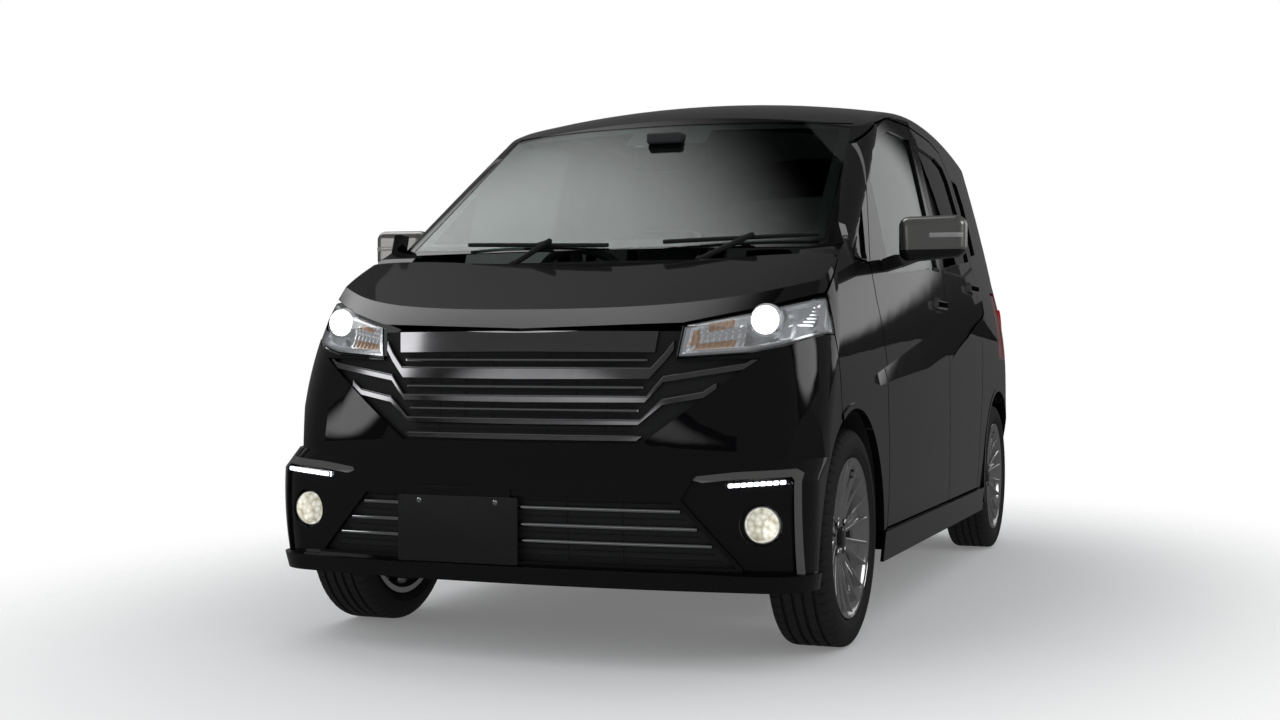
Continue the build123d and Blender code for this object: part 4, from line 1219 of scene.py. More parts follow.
@dataclass
class Glazing(Assembly):
    """Printed border, belt mouldings, and the cups behind the door handles."""

    SIDE_BORDER = 0.945
    FOOT_BORDER = 0.055
    SENSOR_HALF = 0.235
    SENSOR_FOOT = 0.83
    BELTS = (("front", -0.636, 0.112), ("rear", 0.170, 0.872))
    BELT_Z = 1.036
    HANDLES = (("front", 0.010, 0.919), ("rear", 0.715, 1.000))
    CUP_RINGS = ((1.0, 0.0002), (0.97, 0.0009), (0.80, 0.0006), (0.45, 0.0003))

    def build(self) -> None:
        """Add the windscreen's border, the belt mouldings and the handle cups."""
        self._frit()
        self._belts()
        self._handles()

    def _frit(self) -> None:
        """Add the black border printed inside the windscreen."""
        skin = self.skin("windscreen")
        side, foot, sensor = self.SIDE_BORDER, self.FOOT_BORDER, self.SENSOR_FOOT
        us = sorted({
            *steps(-1.0, -side, 2), *steps(-side, -0.27, 12), *steps(-0.27, -0.20, 2),
            *steps(-0.20, 0.20, 8), *steps(0.20, 0.27, 2), *steps(0.27, side, 12), *steps(side, 1.0, 2),
        })
        vs = sorted({
            *steps(0.0, foot, 2), *steps(foot, sensor, 20), *steps(sensor, side, 4), *steps(side, 1.0, 2),
        })

        def place(u: float, v: float) -> Vector | None:
            """Return a point just inside the glass.

            Args:
                u: place across the glass, from -1 to 1.
                v: share of the way up.

            Returns:
                The point, or None off the glass.
            """
            low = 1.0485 + 0.009 * max(0.0, abs(u) * 2 - 1)
            high = 1.4715 - 0.013 * u * u
            z = low + (high - low) * v
            half = 0.617 - 0.067 * (z - 1.058) / 0.402
            hit = skin.from_rear(u * half * 0.996, z, start=0.0)
            return None if hit is None else hit + Vector((0.0, 0.0008, -0.0002))

        def tint(u: float, v: float) -> int | None:
            """Return the material number of a cell.

            Args:
                u: place across the glass, from -1 to 1.
                v: share of the way up.

            Returns:
                0 on the border and round the sensor, else None.
            """
            border = abs(u) > side or v < foot or v > side
            behind_sensor = v > sensor and abs(u) < self.SENSOR_HALF
            return 0 if border or behind_sensor else None

        mould = Mould()
        mould.grid(place, us, vs, tint)
        self.single("windscreen_border", mould, (FRIT,))

    def _belts(self) -> None:
        """Add the mouldings along the foot of each door's window."""
        for end, y0, y1 in self.BELTS:
            skin = self.skin(f"{end}_door_left")

            def shape(mould: Mould) -> None:
                """Sweep the moulding along the glass's foot.

                Args:
                    mould: the mesh to add to.
                """
                path = []
                for y in steps(y0, y1, 40):
                    drop = 0.0 if end == "rear" else -0.050 * max(0.0, min(1.0, (-0.40 - y) / 0.24))
                    rise = 0.045 * max(0.0, (y - 0.60) / 0.27) if end == "rear" else 0.0
                    hit = skin.from_side(y, self.BELT_Z + drop * 0.6 + rise)
                    if hit is not None:
                        path.append(hit + Vector((-0.0005, 0.0, 0.0)))
                mould.bar(path, 0.0028, 0.0065, sides=10)

            self.pair(f"{end}_belt_moulding", shape, (TRIM,), body=f"{end}_door_{{side}}")

    def _handles(self) -> None:
        """Add the dark cups behind the door handles."""
        for end, y0, z0 in self.HANDLES:
            skin = self.skin(f"{end}_door_left")

            def shape(mould: Mould) -> None:
                """Lay the cup's rings on the door's skin.

                Args:
                    mould: the mesh to add to.
                """
                rings = []
                for grow, out in self.CUP_RINGS:
                    ring = []
                    for a, b in rounded(0.062, 0.026, 0.024):
                        hit = skin.from_side(y0 + a * grow, z0 + b * grow)
                        ring.append(None if hit is None else hit + Vector((out, 0.0, 0.0)))
                    rings.append(ring)
                if all(point is not None for ring in rings for point in ring):
                    mould.skin(rings)

            self.pair(f"{end}_handle_cup", shape, (TRIM,), body=f"{end}_door_{{side}}")


@dataclass
class Wheel(Assembly):
    """One wheel: rim with its brake disc, nuts, cap and valve, and the tyre with its tread.

    Attributes:
        end: front or rear.
        side: left or right.
        turn: 1 for the left side, -1 for the right.
        axle_y: the axle's place.
        track: distance between the wheels' middles.
    """

    end: str
    side: str
    turn: int
    axle_y: float
    track: float

    PAIRS = 10
    TYRE_STEPS = 360
    PITCH_STEPS = 6
    RIM_PROFILE = (
        (-0.0750, 0.1920), (-0.0750, 0.2070), (-0.0722, 0.2080), (-0.0690, 0.2080), (-0.0655, 0.2050),
        (-0.0630, 0.1965), (-0.0450, 0.1955), (-0.0200, 0.1870), (0.0200, 0.1870), (0.0450, 0.1955),
        (0.0630, 0.1965), (0.0655, 0.2050), (0.0690, 0.2080), (0.0722, 0.2080), (0.0742, 0.2072),
        (0.0742, 0.2040), (0.0705, 0.1985), (0.0640, 0.1910), (0.0500, 0.1840), (0.0250, 0.1780),
        (-0.0650, 0.1820),
    )
    LIP_PROFILE = ((0.0742, 0.2078), (0.0750, 0.2070), (0.0750, 0.2046), (0.0742, 0.2038))
    HUB_PROFILE = (
        (0.019, 0.0150), (0.019, 0.0660), (0.034, 0.0660), (0.0405, 0.0600), (0.0450, 0.0520),
        (0.0460, 0.0420), (0.0455, 0.0330), (0.0430, 0.0300), (0.0430, 0.0150),
    )
    CAP_PROFILE = (
        (0.0435, 0.0285), (0.0510, 0.0280), (0.0535, 0.0262), (0.0528, 0.0240), (0.0550, 0.0200),
        (0.0562, 0.0120), (0.0568, 0.0040),
    )
    DISC_PROFILE = (
        (-0.020, 0.060), (-0.020, 0.118), (-0.0158, 0.118), (-0.0158, 0.112), (-0.0122, 0.112),
        (-0.0122, 0.118), (-0.008, 0.118), (-0.008, 0.064), (0.020, 0.060), (0.020, 0.020), (-0.020, 0.020),
    )
    RIB_RADII = (0.044, 0.060, 0.080, 0.105, 0.130, 0.155, 0.175, 0.188, 0.1955)
    WEB_RADII = (0.058, 0.080, 0.110, 0.140, 0.165, 0.185, 0.194)
    NUT_RING_R = 0.050
    NUT_RINGS = ((0.0460, 0.0095), (0.0500, 0.0095), (0.0515, 0.0078), (0.0522, 0.0045))
    WELL_X = 0.0456
    WELL_R = 0.0125
    GROOVE_DEPTH = 0.0045
    SIPE_DEPTH = 0.0035
    TYRE_HALF = (
        (0.0600, 0.1965), (0.0630, 0.2010), (0.0655, 0.2065), (0.0700, 0.2095), (0.0755, 0.2160),
        (0.0795, 0.2265), (0.0806, 0.2300), (0.0822, 0.2310), (0.0825, 0.2380), (0.0820, 0.2490),
        (0.0802, 0.2580), (0.0772, 0.2660), (0.0745, 0.2705), (0.0712, 0.2748), (0.0668, 0.2780),
        (0.0610, 0.2800), (0.0530, 0.2809), (0.0460, 0.2810), (0.0446, 0.2745), (0.0384, 0.2745),
        (0.0370, 0.2810), (0.0275, 0.2810), (0.0180, 0.2810), (0.0166, 0.2742), (0.0094, 0.2742),
        (0.0080, 0.2810), (0.0000, 0.2810),
    )

    def build(self) -> None:
        """Add the rim and the tyre."""
        place = f"{self.end}_{self.side}"
        for kind, shape, finishes, sharp in (
            ("rim", self._rim, (WHEEL, CHROME, DISC, GLOSS_BLACK), 38.0),
            ("tyre", self._tyre, (RUBBER,), 32.0),
        ):
            name = f"wheel_{kind}_{place}"
            mesh = shape().mesh(name, flip_x=self.turn < 0, sharp=sharp)
            self.shop.add(name, mesh, f"wheel_{place}", finishes, stands_for=(f"{kind}_{place}",))

    def _centre(self) -> Point:
        """Return the wheel's middle on the left side."""
        return (self.track / 2, self.axle_y, WHEEL_R)

    def _spot(self, x: float, radius: float, angle: float) -> Vector:
        """Return a point by its place along the axle, radius and angle."""
        return Vector(self._centre()) + Vector((x, radius * math.sin(angle), radius * math.cos(angle)))

    def _rim(self) -> Mould:
        """Build the rim, its disc and its fittings.

        Returns:
            The mould with them.
        """
        mould = Mould()
        centre = self._centre()
        mould.turn(self.RIM_PROFILE, centre, around=144)
        mould.turn(self.LIP_PROFILE, centre, around=144, tint=1)
        mould.turn(self.HUB_PROFILE, centre, around=72)
        mould.turn(self.CAP_PROFILE, centre, around=48, closed=False, tint=3)
        mould.turn(self.DISC_PROFILE, centre, around=72, tint=2)
        for pair in range(self.PAIRS):
            middle = math.tau * pair / self.PAIRS
            for half in (-1, 1):
                mould.skin(self._rib(middle, half))
            mould.skin(self._web(middle))
        for corner in range(4):
            self._nut(mould, math.tau * (corner + 0.5) / 4)
        valve = math.tau * 0.5 / self.PAIRS
        mould.bar([self._spot(0.050, 0.181, valve), self._spot(0.068, 0.178, valve)], 0.003, 0.003, tint=3)
        return mould

    @staticmethod
    def _reach(radius: float) -> tuple[float, float, float, float]:
        """Return a rib's front, back, half width and offset at a radius.

        Args:
            radius: distance from the axle.

        Returns:
            Front and back places along the axle, half width, and offset from the pair's middle.
        """
        share = (radius - 0.048) / 0.142
        front = 0.0455 + 0.0245 * share - 0.0035 * math.sin(math.pi * min(1.0, max(0.0, share)))
        back = 0.021 + 0.012 * share
        half = 0.0068 - 0.0018 * share
        offset = 0.0054 + 0.0226 * share
        return front, back, half, offset

    def _rib(self, middle: float, half: int) -> list[list[Vector]]:
        """Return the rings of one rib.

        Args:
            middle: angle of the pair.
            half: which rib of the pair, -1 or 1.

        Returns:
            Rings from the hub to the rim.
        """
        rings = []
        across = Vector((0.0, math.cos(middle), -math.sin(middle)))
        for radius in self.RIB_RADII:
            front, back, wide, offset = self._reach(radius)
            section = (
                (back, wide), (front - 0.0050, wide), (front - 0.0012, 0.72 * wide), (front, 0.30 * wide),
                (front, -0.30 * wide), (front - 0.0012, -0.72 * wide), (front - 0.0050, -wide),
                (back, -wide),
            )
            base = self._spot(0.0, radius, middle)
            rings.append([base + across * (half * offset + a) + Vector((x, 0.0, 0.0)) for x, a in section])
        return rings

    def _web(self, middle: float) -> list[list[Vector]]:
        """Return the rings of the recessed wall between a pair's ribs.

        Args:
            middle: angle of the pair.

        Returns:
            Rings from the hub to the rim.
        """
        rings = []
        across = Vector((0.0, math.cos(middle), -math.sin(middle)))
        for radius in self.WEB_RADII:
            front, back, _, offset = self._reach(radius)
            face = max(back + 0.004, front - 0.015)
            base = self._spot(0.0, radius, middle)
            rear, middle_x = face - 0.004, face - 0.002
            section = ((rear, offset), (face, offset), (middle_x, 0.0), (face, -offset), (rear, -offset))
            rings.append([base + across * a + Vector((x, 0.0, 0.0)) for x, a in section])
        return rings

    def _nut(self, mould: Mould, angle: float) -> None:
        """Add one wheel nut in its well.

        Args:
            mould: the mesh to add to.
            angle: its angle about the axle.
        """
        base = self._spot(0.0, self.NUT_RING_R, angle)
        well = [
            base + Vector((self.WELL_X, self.WELL_R * math.cos(a), self.WELL_R * math.sin(a)))
            for a in circle(24)
        ]
        mould.slab(well, Vector((0.0008, 0.0, 0.0)), tint=3)
        mould.skin([
            [base + Vector((x, radius * math.cos(a), radius * math.sin(a))) for a in circle(6)]
            for x, radius in self.NUT_RINGS
        ], tint=1)

    def _tyre(self) -> Mould:
        """Spin the tyre's section, then press in the grooves across its shoulders.

        Returns:
            The mould with the tyre.
        """
        mould = Mould()
        whole = list(self.TYRE_HALF) + [(-x, r) for x, r in reversed(self.TYRE_HALF[:-1])]
        centre = Vector(self._centre())
        mould.turn(whole, centre, around=self.TYRE_STEPS)
        for vert in mould.bm.verts:
            x, across = vert.co.x - centre.x, Vector((0.0, vert.co.y - centre.y, vert.co.z - centre.z))
            step = round(math.atan2(across.y, across.z) / math.tau * self.TYRE_STEPS)
            phase = (step + (self.PITCH_STEPS // 2 if x < 0 else 0)) % self.PITCH_STEPS
            shoulder = 0.048 < abs(x) < 0.0775 and across.length > 0.2640 and phase == 0
            inner = 0.020 < abs(x) < 0.036 and phase == 3
            depth = self.GROOVE_DEPTH if shoulder else self.SIPE_DEPTH if inner else 0.0
            vert.co -= across.normalized() * depth
        return mould


@dataclass
class Suspension(Assembly):
    """Coil springs and rubber boots on the front struts."""

    FOOT_X = 0.5265
    BOOT_X = 0.5262
    LEAN = 0.005
    COILS = 5.0
    COIL_R = 0.055
    WIRE_R = 0.0058
    SPRING_Z = (0.6105, 0.145)
    BOOT_Z = (0.612, 0.140)
    BOOT_R = 0.030
    FOLD = 0.006
    FOLDS = 24

    def build(self) -> None:
        """Add a spring and a boot on each side."""
        kinds = (("coil_spring", self._spring, SPRING), ("strut_boot", self._boot, RUBBER))
        for side, turn in SIDES:
            for kind, shape, finish in kinds:
                mould = Mould()
                shape(mould)
                mesh = mould.mesh(f"{kind}_{side}", flip_x=turn < 0)
                self.shop.add(f"{kind}_{side}", mesh, f"knuckle_{side}", (finish,))

    def _spring(self, mould: Mould) -> None:
        """Wind the spring's wire.

        Args:
            mould: the mesh to add to.
        """
        foot, rise = self.SPRING_Z
        path = []
        for share in steps(0.0, 1.0, 120):
            angle = math.tau * self.COILS * share
            x = self.FOOT_X - self.LEAN * share + self.COIL_R * math.cos(angle)
            path.append(Vector((x, FRONT_AXLE_Y + self.COIL_R * math.sin(angle), foot + rise * share)))
        mould.bar(path, self.WIRE_R, self.WIRE_R, sides=10)

    def _boot(self, mould: Mould) -> None:
        """Fold the rubber boot round the strut.

        Args:
            mould: the mesh to add to.
        """
        foot, rise = self.BOOT_Z
        rows = []
        for i, share in enumerate(steps(0.0, 1.0, self.FOLDS)):
            radius = self.BOOT_R + (self.FOLD if i % 2 else 0.0)
            x = self.BOOT_X - self.LEAN * share
            rows.append([
                Vector((x + radius * math.cos(a), FRONT_AXLE_Y + radius * math.sin(a), foot + rise * share))
                for a in circle(28)
            ])
        mould.skin(rows)


@dataclass
class Plates(Assembly):
    """The blank number plates and their bolts."""

    HALF_WIDE = 0.165
    HALF_HIGH = 0.0825
    BOLT_X = 0.105
    BOLT_HEAD = ((0.0, 0.0068), (0.0008, 0.0068), (0.0015, 0.0052), (0.0016, 0.0015))
    FRONT = (-0.146, -1.6947, 0.3205)
    FRONT_BOLT_Z = 0.390
    REAR = (0.0, 1.6721, 0.7205)
    REAR_BOLT_Z = 0.790
    REAR_LEAN = 0.075

    def build(self) -> None:
        """Add both plates."""
        self._plate("front_plate", self.FRONT, self.FRONT_BOLT_Z, "body", -1)
        self._plate("rear_plate", self.REAR, self.REAR_BOLT_Z, "tailgate", 1)

    def _plate(self, name: str, place: Point, bolt_z: float, body: str, facing: int) -> None:
        """Add one plate.

        Args:
            name: the piece's name.
            place: the middle of its back.
            bolt_z: height of its bolts.
            body: the body that it rides on.
            facing: -1 if it faces forwards, 1 if backwards.
        """
        mould = Mould()
        x0, y0, z0 = place
        outline = rounded(self.HALF_WIDE, self.HALF_HIGH, 0.006)
        inner = rounded(self.HALF_WIDE - 0.003, self.HALF_HIGH - 0.003, 0.004)
        lean = self.REAR_LEAN if facing > 0 else 0.0
        rings = []
        for points, depth in ((outline, 0.0), (outline, 0.0010), (inner, 0.0016)):
            rings.append([
                Vector((x0 + x, y0 + facing * depth + lean * (bolt_z - z0 - z), z0 + z)) for x, z in points
            ])
        mould.skin(rings)
        for bolt in (-self.BOLT_X, self.BOLT_X):
            centre = (x0 + bolt, y0 + facing * 0.0012, bolt_z)
            head = [(facing * along, radius) for along, radius in self.BOLT_HEAD]
            mould.turn(head, centre, around=24, closed=False, tint=1, axis="Y")
        self.single(name, mould, (PLATE_DARK, CHROME), body)


RAISED_RINGS = ((1.0, -0.3), (1.0, 0.5), (0.95, 1.0), (0.8, 1.0), (0.6, 1.0), (0.4, 1.0), (0.2, 1.0))


def raised(
    mould: Mould,
    find: Callable[[float, float], Vector | None],
    outline: Sequence[tuple[float, float]],
    out: Vector,
    height: float,
    tint: int = 0,
) -> None:
    """Add a low raised field that follows a surface.

    Args:
        mould: the mesh to add to.
        find: gives the surface point at two coordinates.
        outline: the field's outline in those coordinates.
        out: the way out of the surface.
        height: how far the field stands proud.
        tint: material number.
    """
    middle = (sum(a for a, _ in outline) / len(outline), sum(b for _, b in outline) / len(outline))
    dense = spaced([*outline, outline[0]], 0.006)[:-1]
    rings = []
    for share, rise in RAISED_RINGS:
        ring = []
        for a, b in dense:
            hit = find(middle[0] + (a - middle[0]) * share, middle[1] + (b - middle[1]) * share)
            if hit is None:
                return
            ring.append(hit + out * (height * rise))
        rings.append(ring)
    mould.skin(rings, tint=tint)


@dataclass
class TailEnd(Assembly):
    """Lamps, reflectors, garnish and wiper at the back."""

    BACK = Vector((0.0, 1.0, 0.0))
    LAMP_BARS = (0.632, 0.668, 0.704)
    LAMP_EDGE_Y = 1.4215
    LAMP_Z = (0.7475, 1.0070)
    OPENING_END_Y = 1.20
    FRAME_LEAST_X = 0.64
    GUIDE_SPAN = (0.830, 0.985)
    REVERSING_FIELD = ((0.672, 0.782), (0.048, 0.018, 0.008), 0.0014)
    REFLECTOR_FIELD = ((0.585, 0.392), (0.058, 0.016, 0.009), 0.0022)
    GARNISH = (0.862, 0.43)
    STOP_LAMP = (1.522, 0.13)
    WIPER_Z = 1.128
    WIPER_HUB = ((-0.004, 0.026), (0.010, 0.024), (0.018, 0.017), (0.020, 0.006))

    def build(self) -> None:
        """Add everything at the back."""
        self._lamps(self.skin("tail_lamps"), self.skin("side_frame_left"))
        gate = self.skin("tailgate", "tailgate_glass")
        garnish = Mould()
        z, half = self.GARNISH
        path = self._behind(gate, [(x, z) for x in steps(-half, half, 60)], -0.003)
        garnish.bar(path, 0.0085, 0.0170, sides=16)
        self.single("tailgate_garnish", garnish, (SMOKED_CHROME,), "tailgate")
        stop = Mould()
        z, half = self.STOP_LAMP
        spoiler = self.skin("tailgate")
        path = self._behind(spoiler, [(x, z) for x in steps(-half, half, 20)], -0.0015)
        stop.bar(path, 0.0030, 0.0075, sides=12)
        self.single("high_stop_lamp", stop, (RED_LENS,), "tailgate")
        self._wiper(gate)

    def _behind(self, skin: Skin, places: Iterable[tuple[float, float]], out: float) -> list[Vector]:
        """Return the points near a surface seen from behind."""
        return met((skin.from_rear(x, z) for x, z in places), self.BACK * out)

    def _lamps(self, lamps: Skin, frame: Skin) -> None:
        """Add the light guides, the lenses beside them and the reflectors.

        Args:
            lamps: the lamps' surface.
            frame: the left side frame's surface.
        """
        bumper = self.skin("rear_bumper")

        def guides(mould: Mould) -> None:
            """Add the upright guides.

            Args:
                mould: the mesh to add to.
            """
            section = [Vector((0.0075 * math.cos(a), 0.0022 * math.sin(a), 0.0)) for a in circle(10)]
            for x in self.LAMP_BARS:
                line = self._behind(lamps, [(x, z) for z in steps(*self.GUIDE_SPAN, 30)], -0.0004)
                mould.skin([[point + offset for offset in section] for point in line])

        def field_on(skin: Skin, spec: tuple[tuple[float, float], Point, float]) -> Callable[[Mould], None]:
            """Return what adds a raised field to a mould.

            Args:
                skin: the surface that it lies on.
                spec: its middle, its half width, half height and corner radius, and its height.

            Returns:
                The function.
            """
            (x, z), shape, height = spec
            outline = [(x + a, z + b) for a, b in rounded(*shape)]
            return lambda mould: raised(mould, skin.from_rear, outline, self.BACK, height)

        def side_lens(mould: Mould) -> None:
            """Close the opening between the lamp and the frame.

            Args:
                mould: the mesh to add to.
            """
            inward, behind = Vector((-0.006, 0.0, 0.0)), Vector((0.0, -0.003, 0.0))
            sunk, into = Vector((-0.0012, 0.0, 0.0)), Vector((-0.0012, 0.0006, 0.0))
            rings = []
            for z in steps(*self.LAMP_Z, 26):
                lamp = lamps.from_side(self.LAMP_EDGE_Y, z)
                places = steps(self.LAMP_EDGE_Y, self.OPENING_END_Y, 230)
                hits = (frame.from_side(y, z) for y in places)
                edge = next((hit for hit in hits if hit is not None and hit.x > self.FRAME_LEAST_X), None)
                if lamp is None or edge is None:
                    continue
                front, rear = edge + into, lamp + sunk + behind
                rings.append([front, rear, rear + inward, front + inward])
            mould.skin(rings)

        self.pair("tail_light_guides", guides, (RED_GLOW,))
        self.pair("reversing_lens", field_on(lamps, self.REVERSING_FIELD), (REVERSING,))
        self.pair("rear_reflector", field_on(bumper, self.REFLECTOR_FIELD), (RED_LENS,))
        self.pair("tail_side_lens", side_lens, (RED_LENS,), sharp=50.0)

    def _wiper(self, gate: Skin) -> None:
        """Add the rear wiper.

        Args:
            gate: the tailgate's skin.
        """
        mould = Mould()
        mould.turn(self.WIPER_HUB, gate.from_rear(0.0, self.WIPER_Z), 28, closed=False, axis="Y")
        arm = []
        for share in steps(0.0, 1.0, 14):
            place = (0.315 * share, self.WIPER_Z + 0.030 * math.sin(math.pi * share * 0.5))
            arm += self._behind(gate, [place], 0.016 - 0.003 * share)
        mould.bar(arm, 0.0035, 0.0080, sides=10)
        places = [(0.115 + 0.290 * share, 1.146 + 0.012 * share) for share in steps(0.0, 1.0, 24)]
        mould.bar(self._behind(gate, places, 0.0035), 0.0040, 0.0016, tint=1, sides=8)
        mould.bar(self._behind(gate, places, 0.0090), 0.0030, 0.0050, sides=8)
        self.single("rear_wiper", mould, (TRIM, RUBBER), "tailgate")


@dataclass(frozen=True)
class Cushion:
    """The blank of one padded form.

    Attributes:
        name: the piece's name.
        centre: the middle of the blank.
        size: its width, depth and height.
        tilt: turn about X, in degrees.
        bolster: how far the side edges stand up.
        seams: places across the width of the sewn channels, from the middle.
        cross: places along the depth or height of the cross channels, from the middle.
        cap: the most that the cloth may swell.
    """

    name: str
    centre: Point
    size: Point
    tilt: float
    bolster: float
    seams: tuple[float, ...]
    cross: tuple[float, ...]
    cap: float


@dataclass
class Seats(Assembly):
    """Padded seats on their frames."""

    SEAT_X = 0.330
    FILL = 0.8
    CUTS = 11
    RIDGE_ANGLE = 0.8
    RIDGE_R = 0.022
    VOXEL = 0.010
    PRESSURE = 4.0
    FRAMES = 20
    SEAM_R = 0.0075
    SEAM_DEPTH = 0.0075
    SEAM_CAP = 0.009
    FRONT = (
        Cushion(
            "seat_cushion", (0.330, -0.090, 0.415), (0.455, 0.470, 0.150), -3.0, 0.028, (-0.135, 0.135),
            (-0.03, 0.10), 0.012,
        ),
        Cushion(
            "seat_back", (0.330, 0.252, 0.745), (0.440, 0.085, 0.520), -14.5, 0.022, (-0.125, 0.125),
            (-0.12, 0.05), 0.010,
        ),
        Cushion("seat_headrest", (0.330, 0.365, 1.135), (0.225, 0.070, 0.155), -8.0, 0.0, (), (), 0.008),
    )
    REAR = (
        Cushion(
            "bench_cushion", (0.0, 0.935, 0.500), (0.880, 0.370, 0.120), -2.0, 0.0, (-0.22, 0.0, 0.22),
            (0.03,), 0.012,
        ),
        Cushion(
            "bench_back", (0.0, 1.237, 0.790), (0.880, 0.085, 0.480), -13.0, 0.0, (-0.22, 0.0, 0.22),
            (0.06,), 0.010,
        ),
        Cushion("bench_headrest", (0.230, 1.330, 1.147), (0.200, 0.062, 0.108), -6.0, 0.0, (), (), 0.006),
    )
    RECLINER = (
        (-0.012, 0.004), (-0.016, 0.034), (-0.012, 0.042), (0.012, 0.042), (0.016, 0.034), (0.012, 0.004),
    )
    POST = ((0.322, 0.960), (0.344, 1.050), (0.352, 1.100))
    POST_R = 0.0062
    BENCH_POST = ((1.305, 1.010), (1.322, 1.070), (1.328, 1.120))
    BENCH_POST_R = 0.0055

    def build(self) -> None:
        """Add the seats."""
        self._frames()
        front = [piece for cushion in self.FRONT for piece in self._pair(cushion)]
        rear: list[bpy.types.Object] = []
        for cushion in self.REAR:
            aside = cushion.centre[0] > 0
            rear += self._pair(cushion) if aside else [self._piece(cushion.name, self._pad(cushion))]
        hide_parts("front_seats")
        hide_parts("rear_seat")

    def _pair(self, cushion: Cushion) -> list[bpy.types.Object]:
        """Add a cushion on the left and its mirror image on the right.

        Args:
            cushion: the blank.

        Returns:
            The two pieces.
        """
        left = self._pad(cushion)
        right = left.copy()
        flip = bmesh.new()
        flip.from_mesh(right)
        bmesh.ops.scale(flip, vec=(-1.0, 1.0, 1.0), verts=flip.verts)
        bmesh.ops.reverse_faces(flip, faces=flip.faces)
        flip.to_mesh(right)
        flip.free()
        return [self._piece(f"{cushion.name}_left", left), self._piece(f"{cushion.name}_right", right)]

    def _piece(self, name: str, mesh: bpy.types.Mesh) -> bpy.types.Object:
        """Add a finished pad.

        Args:
            name: the piece's name.
            mesh: its mesh.

        Returns:
            The piece.
        """
        mesh.name = name
        piece = self.shop.add(name, mesh, "body", (CLOTH,))
        return piece

    def _pad(self, cushion: Cushion) -> bpy.types.Mesh:
        """Shape, swell and sew one pad.

        Args:
            cushion: the blank.

        Returns:
            The finished mesh.
        """
        turn = Matrix.Rotation(math.radians(cushion.tilt), 4, "X")
        flat = cushion.size[2] < cushion.size[1]
        blank = bmesh.new()
        bmesh.ops.create_cube(blank, size=1.0)
        bmesh.ops.scale(blank, vec=cushion.size, verts=blank.verts)
        bmesh.ops.subdivide_edges(blank, edges=blank.edges, cuts=self.CUTS, use_grid_fill=True)
        half = [side / 2 for side in cushion.size]
        for vert in blank.verts:
            edge = (abs(vert.co.x) / half[0]) ** 4
            if flat:
                if vert.co.z > 0:
                    vert.co.z += cushion.bolster * edge - 0.010 * (1 - edge) * (vert.co.y / half[1]) ** 4
            elif vert.co.y < 0:
                vert.co.y -= cushion.bolster * edge - 0.006 * (vert.co.z / half[2]) ** 4
            pull = 1.0 - 0.035 * (abs(vert.co.y) / half[1] if flat else abs(vert.co.z) / half[2]) ** 6
            vert.co.x *= pull
        ridge = [edge for edge in blank.edges if edge.calc_face_angle(0.0) > self.RIDGE_ANGLE]
        bmesh.ops.bevel(
            blank, geom=ridge, offset=min(self.RIDGE_R, 0.3 * min(cushion.size)), segments=3, profile=0.5,
            affect="EDGES", material=-1, clamp_overlap=True,
        )
        start = bpy.data.meshes.new(f"{cushion.name}_blank")
        blank.to_mesh(start)
        blank.free()
        swollen = self._swell(start, cushion.cap)
        self._sew(swollen, cushion, flat)
        swollen.transform(Matrix.Translation(cushion.centre) @ turn)
        return swollen

    def _swell(self, start: bpy.types.Mesh, cap: float) -> bpy.types.Mesh:
        """Even out a blank and blow it up as cloth.

        Args:
            start: the blank.
            cap: how far a point may move.

        Returns:
            The swollen mesh.
        """
        scene = bpy.context.scene
        holder = bpy.data.objects.new("pad_blank", start)
        scene.collection.objects.link(holder)
        even = holder.modifiers.new("even", "REMESH")
        even.mode = "VOXEL"
        even.voxel_size = self.VOXEL
        mesh = self._evaluated(holder)
        holder.modifiers.clear()
        holder.data = mesh
        before = [vertex.co.copy() for vertex in mesh.vertices]
        cloth = holder.modifiers.new("cloth", "CLOTH")
        cloth.settings.use_pressure = True
        cloth.settings.uniform_pressure_force = self.PRESSURE
        cloth.settings.effector_weights.gravity = 0.0
        cloth.point_cache.frame_start = 1
        cloth.point_cache.frame_end = self.FRAMES
        for frame in range(1, self.FRAMES + 1):
            scene.frame_set(frame)
        puffed = self._evaluated(holder)
        for vertex, old, new in zip(mesh.vertices, before, puffed.vertices):
            move = new.co - old
            vertex.co = old + (move.normalized() * min(move.length, cap) if move.length > 0 else move)
        bpy.data.meshes.remove(puffed)
        scene.frame_set(1)
        bpy.data.objects.remove(holder)
        finer = bmesh.new()
        finer.from_mesh(mesh)
        ease = {"factor": 0.5, "use_axis_x": True, "use_axis_y": True, "use_axis_z": True}
        bmesh.ops.smooth_vert(finer, verts=finer.verts, **ease)
        bmesh.ops.subdivide_edges(finer, edges=finer.edges, cuts=1, use_grid_fill=True, smooth=0.0)
        bmesh.ops.smooth_vert(finer, verts=finer.verts, **ease)
        finer.to_mesh(mesh)
        finer.free()
        return mesh

    @staticmethod
    def _evaluated(holder: bpy.types.Object) -> bpy.types.Mesh:
        """Return a new mesh of an object with its modifiers applied."""
        graph = bpy.context.evaluated_depsgraph_get()
        return bpy.data.meshes.new_from_object(holder.evaluated_get(graph))

